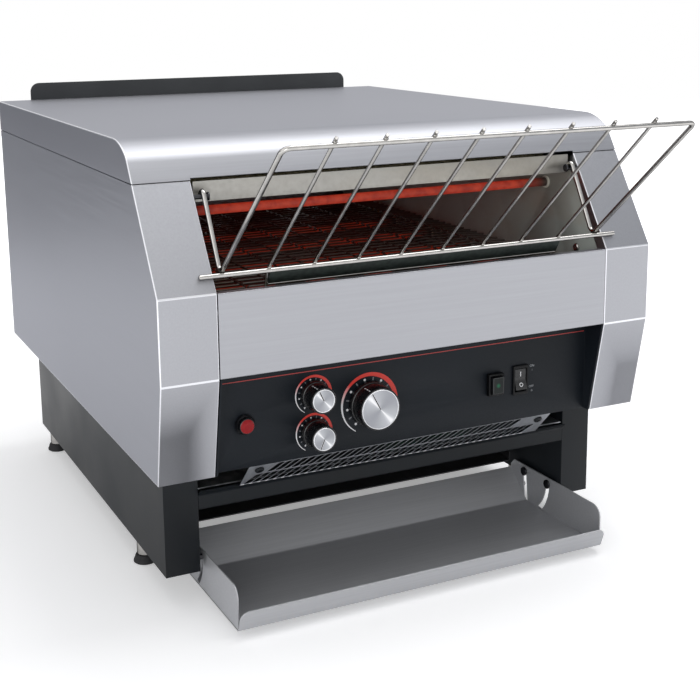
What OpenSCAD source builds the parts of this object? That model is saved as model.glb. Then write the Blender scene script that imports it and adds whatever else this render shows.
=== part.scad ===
// Counter-top conveyor toaster with a wire feed rack and a hanging discharge tray.
// Millimetres. X runs to the right, the front faces -Y and Z is up.
// Everything is laid out with y = 0 at the vertical front face and z = 0 at the worktop,
// and stand() then centres the whole toaster's box over the origin.

/* [Body] */
// Width of the stainless body
body_w = 473; // [450:1:520]
// Depth of the stainless body, front face to back
body_d = 566; // [550:2:620]
// Height of the top cover above the worktop
body_h = 403; // [398:1:425]
// Gauge of the stainless sheet
sheet = 1.2; // [0.8:0.1:1.8]
// Width of each stainless trim beside the front openings
trim_w = 49; // [44:1:56]
// Depth of the folded edge inside each trim
trim_return = 12; // [8:1:12]
// Radius of the top cover's nose
nose_r = 26; // [20:1:28]
// Radius where the top cover turns flat
crown_r = 58; // [40:2:80]
// Seam between the top cover and the side panels
seam = 1; // [0.5:0.1:2]

/* [Front face] */
// Height of the lower edge of the trims and control panel
panel_low = 131; // [125:1:135]
// Height of the lower edge of the stainless front panel
face_low = 218; // [212:1:224]
// Height of the lower edge of the feed opening
feed_low = 288; // [284:1:292]
// Height of the upper edge of the feed opening
hood_low = 370; // [366:1:374]
// Setback of the upper edge of the feed opening
hood_back = 54; // [48:1:56]
// Setback of the lower ends of the trims
skirt_back = 17.6; // [12:0.2:22]
// Setback of the control panel
panel_back = 25; // [23:1:28]
// Gauge of the control panel
panel_t = 1.6; // [1:0.1:2]
// Side gap round the two middle front panels
side_gap = 0.6; // [0.3:0.1:1.2]

/* [Base] */
// Width of the black base
base_w = 438.6; // [430:0.2:446]
// Setback of the base's front
base_front = 61; // [58:1:66]
// Distance from the body's back to the base's back
base_inset = 46; // [40:1:60]
// Width of each leg box
leg_w = 31; // [28:1:34]
// Height of the leg boxes' open tops
leg_top = 205; // [200:1:208]
// Gauge of the black steel sheet
base_sheet = 1.5; // [1:0.1:2]
// Height of the feet
foot_h = 30; // [26:1:40]
// Height of each rubber foot pad
pad_h = 8; // [5:1:12]
// Diameter of each rubber foot pad
pad_d = 22; // [18:1:26]
// Diameter of each foot stem
stem_d = 15; // [10:1:18]
// Distance of the front feet behind the base's front
foot_front = 106; // [60:2:120]
// Distance of the rear feet before the base's back
foot_rear = 12; // [12:1:60]
// Height of the lower edge of the front crossbar
bar_low = 86; // [84:1:92]
// Height of the lower edge of the grille
grille_low = 104; // [102:1:108]
// Width of the grille
grille_w = 305; // [280:5:330]
// Pitch of the grille's slots
slot_pitch = 7.5; // [6:0.5:12]

/* [Conveyor] */
// Height of both conveyor shafts
shaft_z = 254; // [252:1:256]
// Diameter of both conveyor shafts
shaft_d = 12; // [10:1:14]
// Radius of the belt's wire line round the shafts
belt_r = 22; // [20:0.5:23]
// Diameter of the belt's cross wires
belt_wire = 2; // [1.5:0.1:2.5]
// Width of the belt
belt_w = 336; // [300:2:344]
// Setback of the front shaft
shaft_front = 60; // [58:1:64]
// Distance of the rear shaft before the body's back
shaft_rear = 116; // [110:2:130]
// Wanted pitch of the belt's cross wires
belt_pitch = 13; // [10:1:26]
// Number of wheels on each shaft
wheels = 5; // [3:1:7]
// Diameter of a heating element
element_d = 8; // [6:0.5:9]
// Number of upper elements
upper_count = 5; // [3:1:6]
// Number of lower elements
lower_count = 4; // [2:1:4]
// Height of the upper elements
upper_z = 338; // [332:1:340]
// Height of the upper reflector
reflector_z = 352; // [350:1:356]

/* [Discharge tray] */
// Width of the tray over its side walls
tray_w = 365; // [350:1:368]
// Height of the tray's underside
tray_z = 6; // [4:1:8]
// Height of the tray's side walls
tray_wall = 38; // [36:1:40]
// How far the tray's floor reaches in front of the body
tray_front = 12; // [5:1:60]
// Height of the tray's front lip
lip_h = 19; // [12:1:24]
// Outward lean of the front lip
lip_lean = 7; // [4:1:9]
// Height of the pins that the tray hangs on
pin_z = 37.5; // [36:0.5:38]
// Distance of the front pins behind the base's front
pin_front = 12.5; // [10:0.5:14]
// Distance between the front and rear pins
pin_step = 40.5; // [38:0.5:43]
// Diameter of the hanging pins
pin_d = 5; // [4:0.5:6]

/* [Feed rack] */
// Forward reach of the rack's top bar
rack_reach = 118; // [80:2:150]
// Height of the rack's top bar
rack_top = 412.5; // [395:0.5:430]
// Height of the rack's bottom rod
rack_low = 301; // [297:1:303]
// Diameter of the rack's frame wire
frame_wire = 4; // [3:0.5:6]
// Diameter of the rack's inner wires
rack_wire = 3; // [2:0.5:5]
// Distance of each side wire from the middle
rack_side = 180; // [172:1:181]
// Number of gaps between the rack's wires
rack_bays = 9; // [5:1:12]

/* [Controls] */
// Left-right place of the two heat knobs
heat_x = -95; // [-110:1:-85]
// Height of the upper heat knob
heat_upper_z = 185.5; // [184:0.5:188]
// Height of the lower heat knob
heat_lower_z = 152; // [149:0.5:153]
// Left-right place of the speed knob
speed_x = -42; // [-50:1:-30]
// Height of the speed knob
speed_z = 170; // [160:1:178]
// Diameter of a heat knob
heat_d = 23; // [18:1:26]
// Diameter of the speed knob
speed_d = 38; // [30:1:42]
// How far the knobs stand out of the panel
knob_h = 21; // [16:1:24]
// Distance of the indicator lamp from the control panel's left edge
lamp_x = 28.9; // [22:0.1:47]
// Diameter of the indicator's lens
lens_d = 14; // [10:1:18]
// Left-right place of the power-save button
saver_x = 85; // [70:1:90]
// Left-right place of the rocker switch
switch_x = 113; // [108:1:130]
// Height of the lamp, button and rocker
row_z = 169; // [160:1:180]
// Travel of the power-save button
saver_travel = 2.5; // [1.5:0.5:3]
// Slope of each half of the rocker
rocker_tilt = 8; // [5:1:10]

/* [Fits] */
// Gap between neighbouring pieces that don't run on each other
gap = 0.3; // [0.2:0.1:0.5]
// Radial clearance of a shaft in its bearing
run_fit = 0.05; // [0.02:0.01:0.1]

/* [Hidden] */
$fn = 48;

// Finishes
stainless = [0.72, 0.73, 0.75];
dark_steel = [0.36, 0.36, 0.37];
base_black = [0.15, 0.16, 0.17];
panel_black = [0.13, 0.14, 0.16];
chrome = [0.85, 0.85, 0.86];
rubber = [0.07, 0.07, 0.07];
glow = [0.75, 0.25, 0.12];
ceramic = [0.93, 0.91, 0.86];
bronze = [0.66, 0.50, 0.28];
zinc = [0.62, 0.64, 0.66];
plastic_black = [0.10, 0.10, 0.11];
board_green = [0.10, 0.38, 0.22];
wool = [0.86, 0.82, 0.70];
lens_red = [0.80, 0.08, 0.08];

// Main widths and lines
half_w = body_w / 2;
inner_x = half_w - trim_w;
mid_w = 2 * (inner_x - side_gap);
leg_out = base_w / 2;
leg_in = leg_out - leg_w;
base_rear = body_d - base_inset;
side_back = body_d - sheet - gap;
flange_low = hood_low + seam;
cheek_x = inner_x - side_gap;
lamp_at = lamp_x - cheek_x;

// Front outline of the trims in the YZ plane, top to bottom
trim_path = [[hood_back, hood_low], [0, feed_low], [0, face_low], [skirt_back, panel_low]];

// Rear deflector
deflector_w = 400;
deflector_t = 1.5;
deflector_up = 19;
deflector_hold = 22;
deflector_corner = 10;

// Screws
screw_d = 4;
head_d = 8;
head_h = 2.2;

// Bent wires
weld = 0.4;
bend_over = 0.1;
bend_lap = 0.5;

// Whole box along Y, which sets where the origin lies
front_most = -rack_reach - (frame_wire + bend_over) / 2;
back_most = body_d + deflector_t + head_h;
mid_y = (front_most + back_most) / 2;

// Chamber
wall_back = body_d - 18;
wall_top = hood_low - 4;
chamber_z = leg_top + 11;
drop_y = body_d - 88;
chamber_half = leg_in - gap;
roof_half = min(inner_x, leg_in) - 3;

// Conveyor
shaft_back = body_d - shaft_rear;
belt_run = shaft_back - shaft_front;
belt_loop = 2 * belt_run + 2 * PI * belt_r;
belt_wires = round(belt_loop / belt_pitch);
strand_t = 2.6;
strand_w = 3;
strands = 3;
wheel_r = belt_r - strand_t / 2 - 0.4;
wheel_w = 10;
wheel_grooves = 12;
bush_d = shaft_d + 6;
bush_flange = bush_d + 8;
bush_t = 3;
bush_len = 6;
lower_z = shaft_z - 2;
lower_reflector_z = shaft_z - 13;
element_end = leg_in + 15;
neck_d = element_d + 4;
flange_t = 4;

// Drive
motor_y = 182;
motor_z = 165;
driven_r = 29;
pinion_r = 14.5;
chain_t = 3;
chain_w = 5;
chain_x = leg_in + 12;
sprocket_w = 2.4;
motor_shaft_d = 10;
gearbox = [50, 56, 60];
can_d = 52;
can_len = 62;

// Fan
fan_size = 92;
fan_depth = 25;
fan_bore = 86;
fan_y = 175;
fan_hub = 34;
fan_blades = 7;

// Electrics compartment
room_back = 232;
room_floor = grille_low;
room_half = leg_in - gap;
fan_z = room_floor + sheet + gap + fan_size / 2;

// Tray
tray_half = tray_w / 2;
pin_y = base_front + pin_front;
pivot_y = pin_y + pin_step;
slot_w = pin_d + 2 * gap;
ramp_y = pivot_y - 3;
ramp_rise = 28;
tray_rear = ramp_y + ramp_rise;
tray_corner = 11;

// Toast slide
slide_half = tray_half - sheet - 3.5;
slide_back = body_d - 23;
slide_top = shaft_z + 8;
slide_turn = shaft_z - 54;
slide_end = [tray_rear - 3, tray_z + ramp_rise + 8];

// Feed rack
rack_dir = [hood_back, hood_low - feed_low] / norm([hood_back, hood_low - feed_low]);
rack_stand = frame_wire / 2 + gap;
rod_y = (rack_low - feed_low) * rack_dir.x / rack_dir.y - rack_stand / rack_dir.y;
hook_z = feed_low + 0.85 * (hood_low - feed_low);
hook_y = (hook_z - feed_low) * rack_dir.x / rack_dir.y + 2.2;
hook_stud_d = 4;
hook_mid = [hook_y, hook_z];
hook_r = hook_stud_d / 2 + gap + (frame_wire + bend_over) / 2;
hook_turn = 176;
tip_over = 5;
toe_t = 1;
rack_rod = inner_x + 12.5;
rack_pitch = 2 * rack_side / rack_bays;

// ---------------------------------------------------------------- helpers

// Moves a piece from the layout lines to the toaster's own frame.
module stand() {
    translate([0, -mid_y, 0]) children();
}

// Shows a piece on the right, or its mirror image on the left.
module hand(side) {
    if (side > 0) children();
    else mirror([1, 0, 0]) children();
}

function reversed(v) = [for (i = [len(v) - 1:-1:0]) v[i]];

// Unit normal on the left of the line from a to b.
function left_normal(a, b) = [a.y - b.y, b.x - a.x] / norm(b - a);

// The same path, moved to its left by t with mitred corners.
function inset(p, t) = [
    for (i = [0:len(p) - 1])
        let (
            n0 = left_normal(p[max(i - 1, 0)], p[max(i, 1)]),
            n1 = left_normal(p[min(i, len(p) - 2)], p[min(i + 1, len(p) - 1)])
        )
        p[i] + (n0 + n1) * t / (1 + n0 * n1)
];

function arc(c, r, a0, a1, n) = [
    for (i = [0:n]) c + r * [cos(a0 + (a1 - a0) * i / n), sin(a0 + (a1 - a0) * i / n)]
];

// Outline of a sheet that follows a path and has its thickness on the left.
module bent(path, t) {
    polygon(concat(path, reversed(inset(path, t))));
}

// Extrudes a YZ outline along X, centred on x0.
module across(w, x0 = 0) {
    translate([x0 - w / 2, 0, 0]) rotate([90, 0, 90]) linear_extrude(w) children();
}

// Extrudes an XZ outline from y0 towards the back.
module deep(y0, t) {
    translate([0, y0 + t, 0]) rotate([90, 0, 0]) linear_extrude(t) children();
}

// Cylinder along X from x0 to x1.
module bar_x(d, x0, x1, y, z) {
    translate([x0, y, z]) rotate([0, 90, 0]) cylinder(d = d, h = x1 - x0);
}

// Cylinder along Y from y0 to y1.
module bar_y(d, y0, y1, x, z) {
    translate([x, y0, z]) rotate([-90, 0, 0]) cylinder(d = d, h = y1 - y0);
}

// Box given by its lowest and highest corners.
module block(low, high) {
    translate(low) cube(high - low);
}

// Round wire from p to q.
module wire(p, q, d) {
    v = q - p;
    translate(p) rotate([0, acos(v.z / norm(v)), atan2(v.y, v.x)]) cylinder(d = d, h = norm(v));
}

// Turn of a round wire at the corner p, from the unit direction u into the unit direction v.
module wire_bend(p, u, v, d, r) {
    turn = acos(u * v);
    mid = p + (v - u) / norm(v - u) * r / cos(turn / 2);
    out = (p - u * r * tan(turn / 2) - mid) / r;
    side = cross(out, u);
    multmatrix([
        [out.x, u.x, side.x, mid.x], [out.y, u.y, side.y, mid.y], [out.z, u.z, side.z, mid.z]
    ])
        rotate_extrude(angle = turn) translate([r, 0]) circle(d = d);
}

// Round wire through a list of points, bent at its inner points. The bends are a hair
// thicker than the straights, which end just inside them.
module bent_wire(pts, d, r) {
    last = len(pts) - 1;
    way = [for (i = [0:last - 1]) (pts[i + 1] - pts[i]) / norm(pts[i + 1] - pts[i])];
    cut = [
        for (i = [0:last])
            i == 0 || i == last ? 0 : r * tan(acos(way[i - 1] * way[i]) / 2) - bend_lap
    ];
    for (i = [0:last - 1]) wire(pts[i] + way[i] * cut[i], pts[i + 1] - way[i] * cut[i + 1], d);
    if (last > 1)
        for (i = [1:last - 1]) wire_bend(pts[i], way[i - 1], way[i], d + bend_over, r);
}

// ---------------------------------------------------------------- stainless body

// The cover's front runs on from the trims' slope, then rolls over to the flat top.
edge_rise = atan2(hood_low - feed_low, hood_back);
crown_rise = 32;
cover_edge = [hood_back, flange_low];
roll_up = nose_r * (cos(crown_rise) - cos(edge_rise)) + crown_r * (1 - cos(crown_rise));
edge_len = (body_h - flange_low - roll_up) / sin(edge_rise);
nose_start = cover_edge + edge_len * [cos(edge_rise), sin(edge_rise)];
nose_mid = nose_start + nose_r * [sin(edge_rise), -cos(edge_rise)];
nose_end = nose_mid + nose_r * [-sin(crown_rise), cos(crown_rise)];
crown_mid = nose_end + crown_r * [sin(crown_rise), -cos(crown_rise)];
cover_front = concat(
    [cover_edge],
    arc(nose_mid, nose_r, 90 + edge_rise, 90 + crown_rise, 8),
    arc(crown_mid, crown_r, 90 + 0.9 * crown_rise, 90, 9)
);
mouth_notch = 1.5;

module top_cover() {
    color(stainless) stand() difference() {
        union() {
            across(body_w)
                bent(concat([[body_d, flange_low], [body_d, body_h]], reversed(cover_front)), sheet);
            for (side = [-1, 1])
                across(sheet, side * (half_w - sheet / 2))
                    polygon(concat(cover_front, [[body_d, body_h], [body_d, flange_low]]));
        }
        block([-inner_x, hood_back - 2, flange_low - 1],
              [inner_x, hood_back + 4, flange_low + mouth_notch]);
    }
}

module side_panel() {
    joggle = half_w - 1.5 * sheet;
    across(sheet, half_w - sheet / 2)
        polygon(concat(trim_path, [[side_back, panel_low], [side_back, hood_low]]));
    across(trim_w, half_w - trim_w / 2) bent(trim_path, sheet);
    across(sheet, inner_x + sheet / 2) bent(trim_path, trim_return);
    across(sheet, joggle)
        polygon([
            [hood_back + 22, hood_low - 8], [side_back, hood_low - 8],
            [side_back, hood_low + 12], [hood_back + 22, hood_low + 12]
        ]);
    block([inner_x, skirt_back, panel_low], [half_w, base_front - gap, panel_low + sheet]);
    block([leg_out + gap, skirt_back, panel_low],
          [half_w, side_back - sheet - gap, panel_low + sheet]);
}

module left_side_panel() {
    color(stainless) stand() hand(-1) side_panel();
}

module right_side_panel() {
    color(stainless) stand() hand(1) side_panel();
}

front_return = 7;

module front_panel() {
    path = [
        [front_return, feed_low], [0, feed_low], [0, face_low], [panel_back - gap, face_low]
    ];
    color(stainless) stand() across(mid_w) bent(path, sheet);
}

module rear_panel() {
    w = body_w - 2 * (2 * sheet + gap);
    slot = [60, 4];
    color(stainless) stand() difference() {
        union() {
            deep(side_back - sheet, sheet)
                translate([-w / 2, panel_low]) square([w, body_h - 12 - panel_low]);
            block([-w / 2, side_back - 14, body_h - 12 - sheet], [w / 2, side_back, body_h - 12]);
        }
        for (col = [-1, 0, 1], row = [0:5])
            translate([col * 130 - slot.x / 2, side_back - 2 * sheet, hood_low - 30 - 10 * row])
                cube([slot.x, 3 * sheet, slot.y]);
    }
}

module rear_deflector() {
    r = deflector_corner;
    top = body_h + deflector_up;
    low = body_h - deflector_hold;
    color(dark_steel) stand() deep(body_d, deflector_t)
        polygon(concat(
            arc([deflector_w / 2 - r, top - r], r, 0, 90, 8),
            arc([-deflector_w / 2 + r, top - r], r, 90, 180, 8),
            [[-deflector_w / 2, low], [deflector_w / 2, low]]
        ));
}

// ---------------------------------------------------------------- control panel and grille

button = [11.6, 15.6];
button_frame = [16, 20.5];
button_stand = 5;
switch_size = [16.4, 27.8];
rocker_size = [12, 21];
switch_stand = 2.2;
lamp_d = lens_d + 3.5;
stem_hole = 10;
body_hole = lens_d - 1;

module control_panel() {
    color(panel_black) stand() difference() {
        union() {
            block([-cheek_x, panel_back, panel_low], [cheek_x, panel_back + panel_t, face_low + 12]);
            for (side = [-1, 1])
                across(panel_t, side * (cheek_x - panel_t / 2))
                    polygon([
                        [panel_back, panel_low], [skirt_back, panel_low],
                        [0, face_low - gap], [panel_back, face_low - gap]
                    ]);
        }
        for (p = [[heat_x, heat_upper_z], [heat_x, heat_lower_z], [speed_x, speed_z]])
            bar_y(stem_hole, panel_back - 1, panel_back + panel_t + 1, p.x, p.y);
        bar_y(body_hole, panel_back - 1, panel_back + panel_t + 1, lamp_at, row_z);
        block([saver_x - button.x / 2 - 1, panel_back - 1, row_z - button.y / 2 - 1],
              [saver_x + button.x / 2 + 1, panel_back + panel_t + 1, row_z + button.y / 2 + 1]);
        block([switch_x - rocker_size.x / 2 - 1, panel_back - 1, row_z - rocker_size.y / 2 - 1],
              [switch_x + rocker_size.x / 2 + 1, panel_back + panel_t + 1, row_z + rocker_size.y / 2 + 1]);
    }
}

grille_t = 0.6;
grille_foot = [base_front - 6, grille_low];
grille_head = [panel_back + 4, panel_low - gap];
grille_len = norm(grille_head - grille_foot);
grille_angle = atan2(grille_head.y - grille_foot.y, grille_head.x - grille_foot.x);
grille_hole = grille_w / 2 - 11;

// One leaning slot in the flat grille, u along its width and v up its slope.
module slot(u, v0, v1, w) {
    lean = 0.55 * (v1 - v0);
    polygon([[u, v0], [u + w, v0], [u + w + lean, v1], [u + lean, v1]]);
}

module inlet_grille() {
    low_row = [3, 0.44 * grille_len];
    high_row = [0.5 * grille_len, grille_len - 4.5];
    low_n = floor((grille_w - 14) / slot_pitch);
    high_n = floor((grille_w - 52) / slot_pitch);
    color(base_black) stand() translate([0, grille_foot.x, grille_foot.y])
        rotate([grille_angle, 0, 0]) translate([0, 0, -grille_t]) linear_extrude(grille_t)
            difference() {
                translate([-grille_w / 2, 0]) square([grille_w, grille_len]);
                for (i = [0:low_n - 1])
                    slot(-grille_w / 2 + 3 + i * slot_pitch, low_row[0], low_row[1], 0.85 * slot_pitch);
                for (i = [0:high_n - 1])
                    slot(-grille_w / 2 + 20 + i * slot_pitch, high_row[0], high_row[1], 0.8 * slot_pitch);
                for (side = [-1, 1])
                    translate([side * grille_hole, 0.72 * grille_len]) circle(d = screw_d + 0.4);
            }
}

module front_crossbar() {
    path = [
        [grille_foot.x + 0.6, grille_low - gap], [base_front, grille_low - 4.5],
        [base_front, bar_low], [base_front + 24, bar_low]
    ];
    color(base_black) stand() across(2 * (leg_in - gap)) bent(path, base_sheet);
}

// ---------------------------------------------------------------- base

stud_d = 8;
foot_x = leg_out - leg_w / 2 + 2;
foot_ys = [base_front + foot_front, base_rear - foot_rear];

module leg() {
    t = base_sheet;
    difference() {
        block([leg_in, base_front, foot_h], [leg_out, base_rear, leg_top]);
        block([leg_in + t, base_front + t, foot_h + t], [leg_out - t, base_rear - t, leg_top + 1]);
        for (y = foot_ys)
            translate([foot_x, y, foot_h - 1]) cylinder(d = stud_d + 2 * gap, h = t + 2);
    }
}

module left_leg() {
    color(base_black) stand() difference() {
        hand(-1) leg();
        bar_x(fan_bore - 4, -leg_in - base_sheet - 1, -leg_in + 1, fan_y, fan_z);
    }
}

module right_leg() {
    color(base_black) stand() difference() {
        hand(1) leg();
        bar_x(motor_shaft_d + 6, leg_in - 1, leg_in + base_sheet + 1, motor_y, motor_z);
    }
}

gland_x = 130;
gland_z = 62;
gland_d = 22;

module base_rear_panel() {
    path = [
        [side_back - sheet - gap, panel_low + base_sheet], [base_rear, panel_low + base_sheet],
        [base_rear, foot_h]
    ];
    color(base_black) stand() difference() {
        across(2 * (leg_in - gap)) bent(reversed(path), base_sheet);
        bar_y(gland_d + 2 * gap, base_rear - 5, base_rear + 5, gland_x, gland_z);
    }
}

module base_bottom_pan() {
    color(base_black) stand()
        block([-leg_in + gap, tray_rear + 60, foot_h],
              [leg_in - gap, base_rear - base_sheet - gap, foot_h + base_sheet]);
}

module foot_stems() {
    color(chrome) stand() for (side = [-1, 1], y = foot_ys)
        translate([side * foot_x, y, 0]) {
            translate([0, 0, pad_h]) cylinder(d = stem_d, h = foot_h - pad_h);
            translate([0, 0, foot_h - 1]) cylinder(d = stud_d, h = 14);
        }
}

module foot_pads() {
    color(rubber) stand() for (side = [-1, 1], y = foot_ys)
        translate([side * foot_x, y, 0]) cylinder(d = pad_d, h = pad_h);
}

module cord_gland() {
    color(plastic_black) stand() difference() {
        union() {
            bar_y(gland_d, base_rear - base_sheet - 8, base_rear + 12, gland_x, gland_z);
            bar_y(gland_d + 8, base_rear, base_rear + 5, gland_x, gland_z);
            bar_y(gland_d + 8, base_rear - base_sheet - 6, base_rear - base_sheet, gland_x, gland_z);
        }
        bar_y(10, base_rear - 20, base_rear + 20, gland_x, gland_z);
    }
}

module component_floor() {
    path = [
        [base_front + base_sheet + gap, room_floor], [room_back, room_floor],
        [room_back, chamber_z - gap]
    ];
    color(zinc) stand() across(2 * room_half) bent(path, sheet);
}

// ---------------------------------------------------------------- feed rack and its pins

// One bent frame wire with a hook at each end, two cross rods and the inner wires.
module feed_rack() {
    top = [-rack_reach, rack_top];
    rod = [rod_y, rack_low];
    up = [rack_top - rack_low, rack_reach + rod_y] / norm(rod - top);
    leg = rod + up * (frame_wire - weld);
    run = (leg - top) / norm(leg - top);
    heel = leg + run * 5;
    aim = 360 + atan2(heel.y - hook_mid.y, heel.x - hook_mid.x) - acos(hook_r / norm(heel - hook_mid));
    touch = hook_mid + hook_r * [cos(aim), sin(aim)];
    wrap = touch + bend_lap * (touch - heel) / norm(touch - heel);
    over = up * ((frame_wire + rack_wire) / 2 - weld);
    tip = top + over - run * tip_over;
    foot = rod + over + run * 3;
    tail_rod = [front_return + 6, feed_low + 0.5];
    tail = tail_rod + [rack_wire - weld, -2];
    color(chrome) stand() {
        bent_wire([
            for (p = [[-1, wrap], [-1, heel], [-1, top], [1, top], [1, heel], [1, wrap]])
                [p[0] * rack_side, p[1].x, p[1].y]
        ], frame_wire, 6);
        for (side = [-1, 1])
            translate([side * rack_side, hook_mid.x, hook_mid.y]) rotate([90, 0, 90])
                rotate([0, 0, aim - hook_turn]) rotate_extrude(angle = hook_turn)
                    translate([hook_r, 0]) circle(d = frame_wire + bend_over);
        wire([-rack_rod, rod.x, rod.y], [rack_rod, rod.x, rod.y], frame_wire);
        for (i = [1:rack_bays - 1]) {
            x = (i - rack_bays / 2) * rack_pitch;
            ends = i == 1 || i == rack_bays - 1 ? [tip, foot, tail] : [tip, foot];
            bent_wire([for (p = ends) [x, p.x, p.y]], rack_wire, 5);
        }
        wire([rack_pitch - rack_side, tail_rod.x, tail_rod.y],
             [rack_side - rack_pitch, tail_rod.x, tail_rod.y], rack_wire);
        across(2 * (rack_side - rack_pitch)) bent([tail_rod, rod], toe_t);
    }
}

module hanger_studs() {
    color(chrome) stand() for (side = [-1, 1]) hand(side) {
        bar_x(hook_stud_d, rack_side - frame_wire, inner_x, hook_y, hook_z);
        bar_x(hook_stud_d + 3, rack_side - frame_wire - 1.5, rack_side - frame_wire, hook_y, hook_z);
        for (y = [pin_y, pivot_y]) {
            bar_x(pin_d, tray_half - sheet - gap, leg_in, y, pin_z);
            bar_x(pin_d + 4, tray_half - sheet - gap - 1.6, tray_half - sheet - gap, y, pin_z);
        }
    }
}

module feed_plate() {
    path = [
        [front_return + gap, feed_low - sheet - 1], [shaft_front - belt_r - 4, shaft_z + 13]
    ];
    color(dark_steel) stand() across(mid_w) bent(reversed(path), sheet);
}

// ---------------------------------------------------------------- heating chamber

upper_ys = [for (i = [0:upper_count - 1]) 98 + i * (shaft_back - 20 - 98) / (upper_count - 1)];
lower_ys = [for (i = [0:lower_count - 1]) 150 + i * (shaft_back - 45 - 150) / (lower_count - 1)];

module chamber_wall() {
    edge = inset(trim_path, trim_return + 1.5);
    lean = (edge[0].x - edge[1].x) / (edge[0].y - edge[1].y);
    low_lean = (edge[3].x - edge[2].x) / (edge[2].y - edge[3].y);
    difference() {
        across(base_sheet, leg_in + base_sheet / 2)
            polygon([
                [edge[2].x + (edge[2].y - leg_top) * low_lean, leg_top], edge[2], edge[1],
                [edge[1].x + (wall_top - edge[1].y) * lean, wall_top],
                [wall_back, wall_top], [wall_back, leg_top]
            ]);
        for (y = [shaft_front, shaft_back])
            bar_x(bush_d + 0.2, leg_in - 1, leg_in + base_sheet + 1, y, shaft_z);
        for (y = upper_ys)
            bar_x(neck_d + 0.4, leg_in - 1, leg_in + base_sheet + 1, y, upper_z);
        for (y = lower_ys)
            bar_x(neck_d + 0.4, leg_in - 1, leg_in + base_sheet + 1, y, lower_z);
    }
}

module left_chamber_wall() {
    color(dark_steel) stand() hand(-1) chamber_wall();
}

module right_chamber_wall() {
    color(dark_steel) stand() hand(1) chamber_wall();
}

module chamber_floor() {
    path = [[drop_y, chamber_z - 14], [drop_y, chamber_z], [panel_back + panel_t + gap, chamber_z]];
    color(dark_steel) stand() across(2 * chamber_half) bent(reversed(path), sheet);
}

module top_reflector() {
    lip_y = hood_back + 4;
    path = [[lip_y, hood_low - 1], [lip_y, reflector_z], [shaft_back + 30, reflector_z]];
    color(dark_steel) stand() across(2 * roof_half) bent(path, sheet);
    color(dark_steel) stand() for (side = [-1, 1])
        block([side > 0 ? roof_half : -chamber_half, hood_back + 24, reflector_z],
              [side > 0 ? chamber_half : -roof_half, shaft_back + 30, reflector_z + sheet]);
}

module bottom_reflector() {
    path = [
        [lower_ys[0] - 26, lower_reflector_z + 8], [lower_ys[0] - 20, lower_reflector_z],
        [shaft_back - 38, lower_reflector_z], [shaft_back - 32, lower_reflector_z + 8]
    ];
    color(stainless) stand() across(2 * chamber_half) bent(path, sheet);
}

module top_insulation() {
    color(wool) stand() block([5 - roof_half, hood_back + 30, reflector_z + sheet],
                              [roof_half - 5, shaft_back + 24, reflector_z + sheet + 22]);
}

// A straight sheathed heater with a terminal stud at each end.
module element(y, z) {
    bar_x(element_d, -element_end, element_end, y, z);
    for (side = [-1, 1]) hand(side) bar_x(element_d / 2, element_end - 1, element_end + 10, y, z);
}

module top_elements() {
    color(glow) stand() for (y = upper_ys) element(y, upper_z);
}

module bottom_elements() {
    color(glow) stand() for (y = lower_ys) element(y, lower_z);
}

module insulator(y, z) {
    face = leg_in + base_sheet;
    difference() {
        union() {
            bar_x(neck_d, leg_in - 1.5, face, y, z);
            bar_x(neck_d + 5, face, face + flange_t, y, z);
        }
        bar_x(element_d + 0.3, leg_in - 5, face + flange_t + 5, y, z);
    }
}

module element_insulators() {
    color(ceramic) stand() for (side = [-1, 1]) hand(side) {
        for (y = upper_ys) insulator(y, upper_z);
        for (y = lower_ys) insulator(y, lower_z);
    }
}

// ---------------------------------------------------------------- conveyor

// Place of a point at distance s along the belt's loop, as [y, z].
function on_belt(s) =
    s < belt_run ? [shaft_front + s, shaft_z + belt_r]
    : s < belt_run + PI * belt_r
        ? [shaft_back, shaft_z] + belt_r * [sin((s - belt_run) / belt_r * 180 / PI),
                                            cos((s - belt_run) / belt_r * 180 / PI)]
    : s < 2 * belt_run + PI * belt_r
        ? [shaft_back - (s - belt_run - PI * belt_r), shaft_z - belt_r]
    : [shaft_front, shaft_z] - belt_r * [sin((s - 2 * belt_run - PI * belt_r) / belt_r * 180 / PI),
                                         cos((s - 2 * belt_run - PI * belt_r) / belt_r * 180 / PI)];

module loop_outline(r) {
    translate([shaft_front, shaft_z - r]) square([belt_run, 2 * r]);
    for (y = [shaft_front, shaft_back]) translate([y, shaft_z]) circle(r = r);
}

module conveyor_belt() {
    bay = (belt_w - strand_w) / (strands - 1);
    color(chrome) stand() {
        for (i = [0:strands - 1])
            across(strand_w, i * bay - (belt_w - strand_w) / 2) difference() {
                loop_outline(belt_r + strand_t / 2);
                loop_outline(belt_r - strand_t / 2);
            }
        for (i = [0:belt_wires - 1], j = [0:strands - 2]) {
            p = on_belt(i * belt_loop / belt_wires);
            x = j * bay - belt_w / 2 + strand_w;
            bar_x(belt_wire, x, x + bay - strand_w, p.x, p.y);
        }
    }
}

// A grooved belt wheel, bored for its shaft.
module belt_wheel(x, y) {
    difference() {
        bar_x(2 * wheel_r, x - wheel_w / 2, x + wheel_w / 2, y, shaft_z);
        bar_x(shaft_d + 0.04, x - wheel_w, x + wheel_w, y, shaft_z);
        for (i = [0:wheel_grooves - 1])
            bar_x(3, x - wheel_w, x + wheel_w, y + wheel_r * cos(i * 360 / wheel_grooves),
                  shaft_z + wheel_r * sin(i * 360 / wheel_grooves));
    }
}

module wheel_set(y) {
    for (i = [0:wheels - 1])
        belt_wheel((i / (wheels - 1) - 0.5) * (belt_w - 40), y);
}

module drive_shaft() {
    color(zinc) stand() bar_x(shaft_d, -leg_in - 10, chain_x + chain_w / 2 + 4, shaft_front, shaft_z);
}

module idler_shaft() {
    color(zinc) stand() bar_x(shaft_d, -leg_in - 10, leg_in + 10, shaft_back, shaft_z);
}

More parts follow.
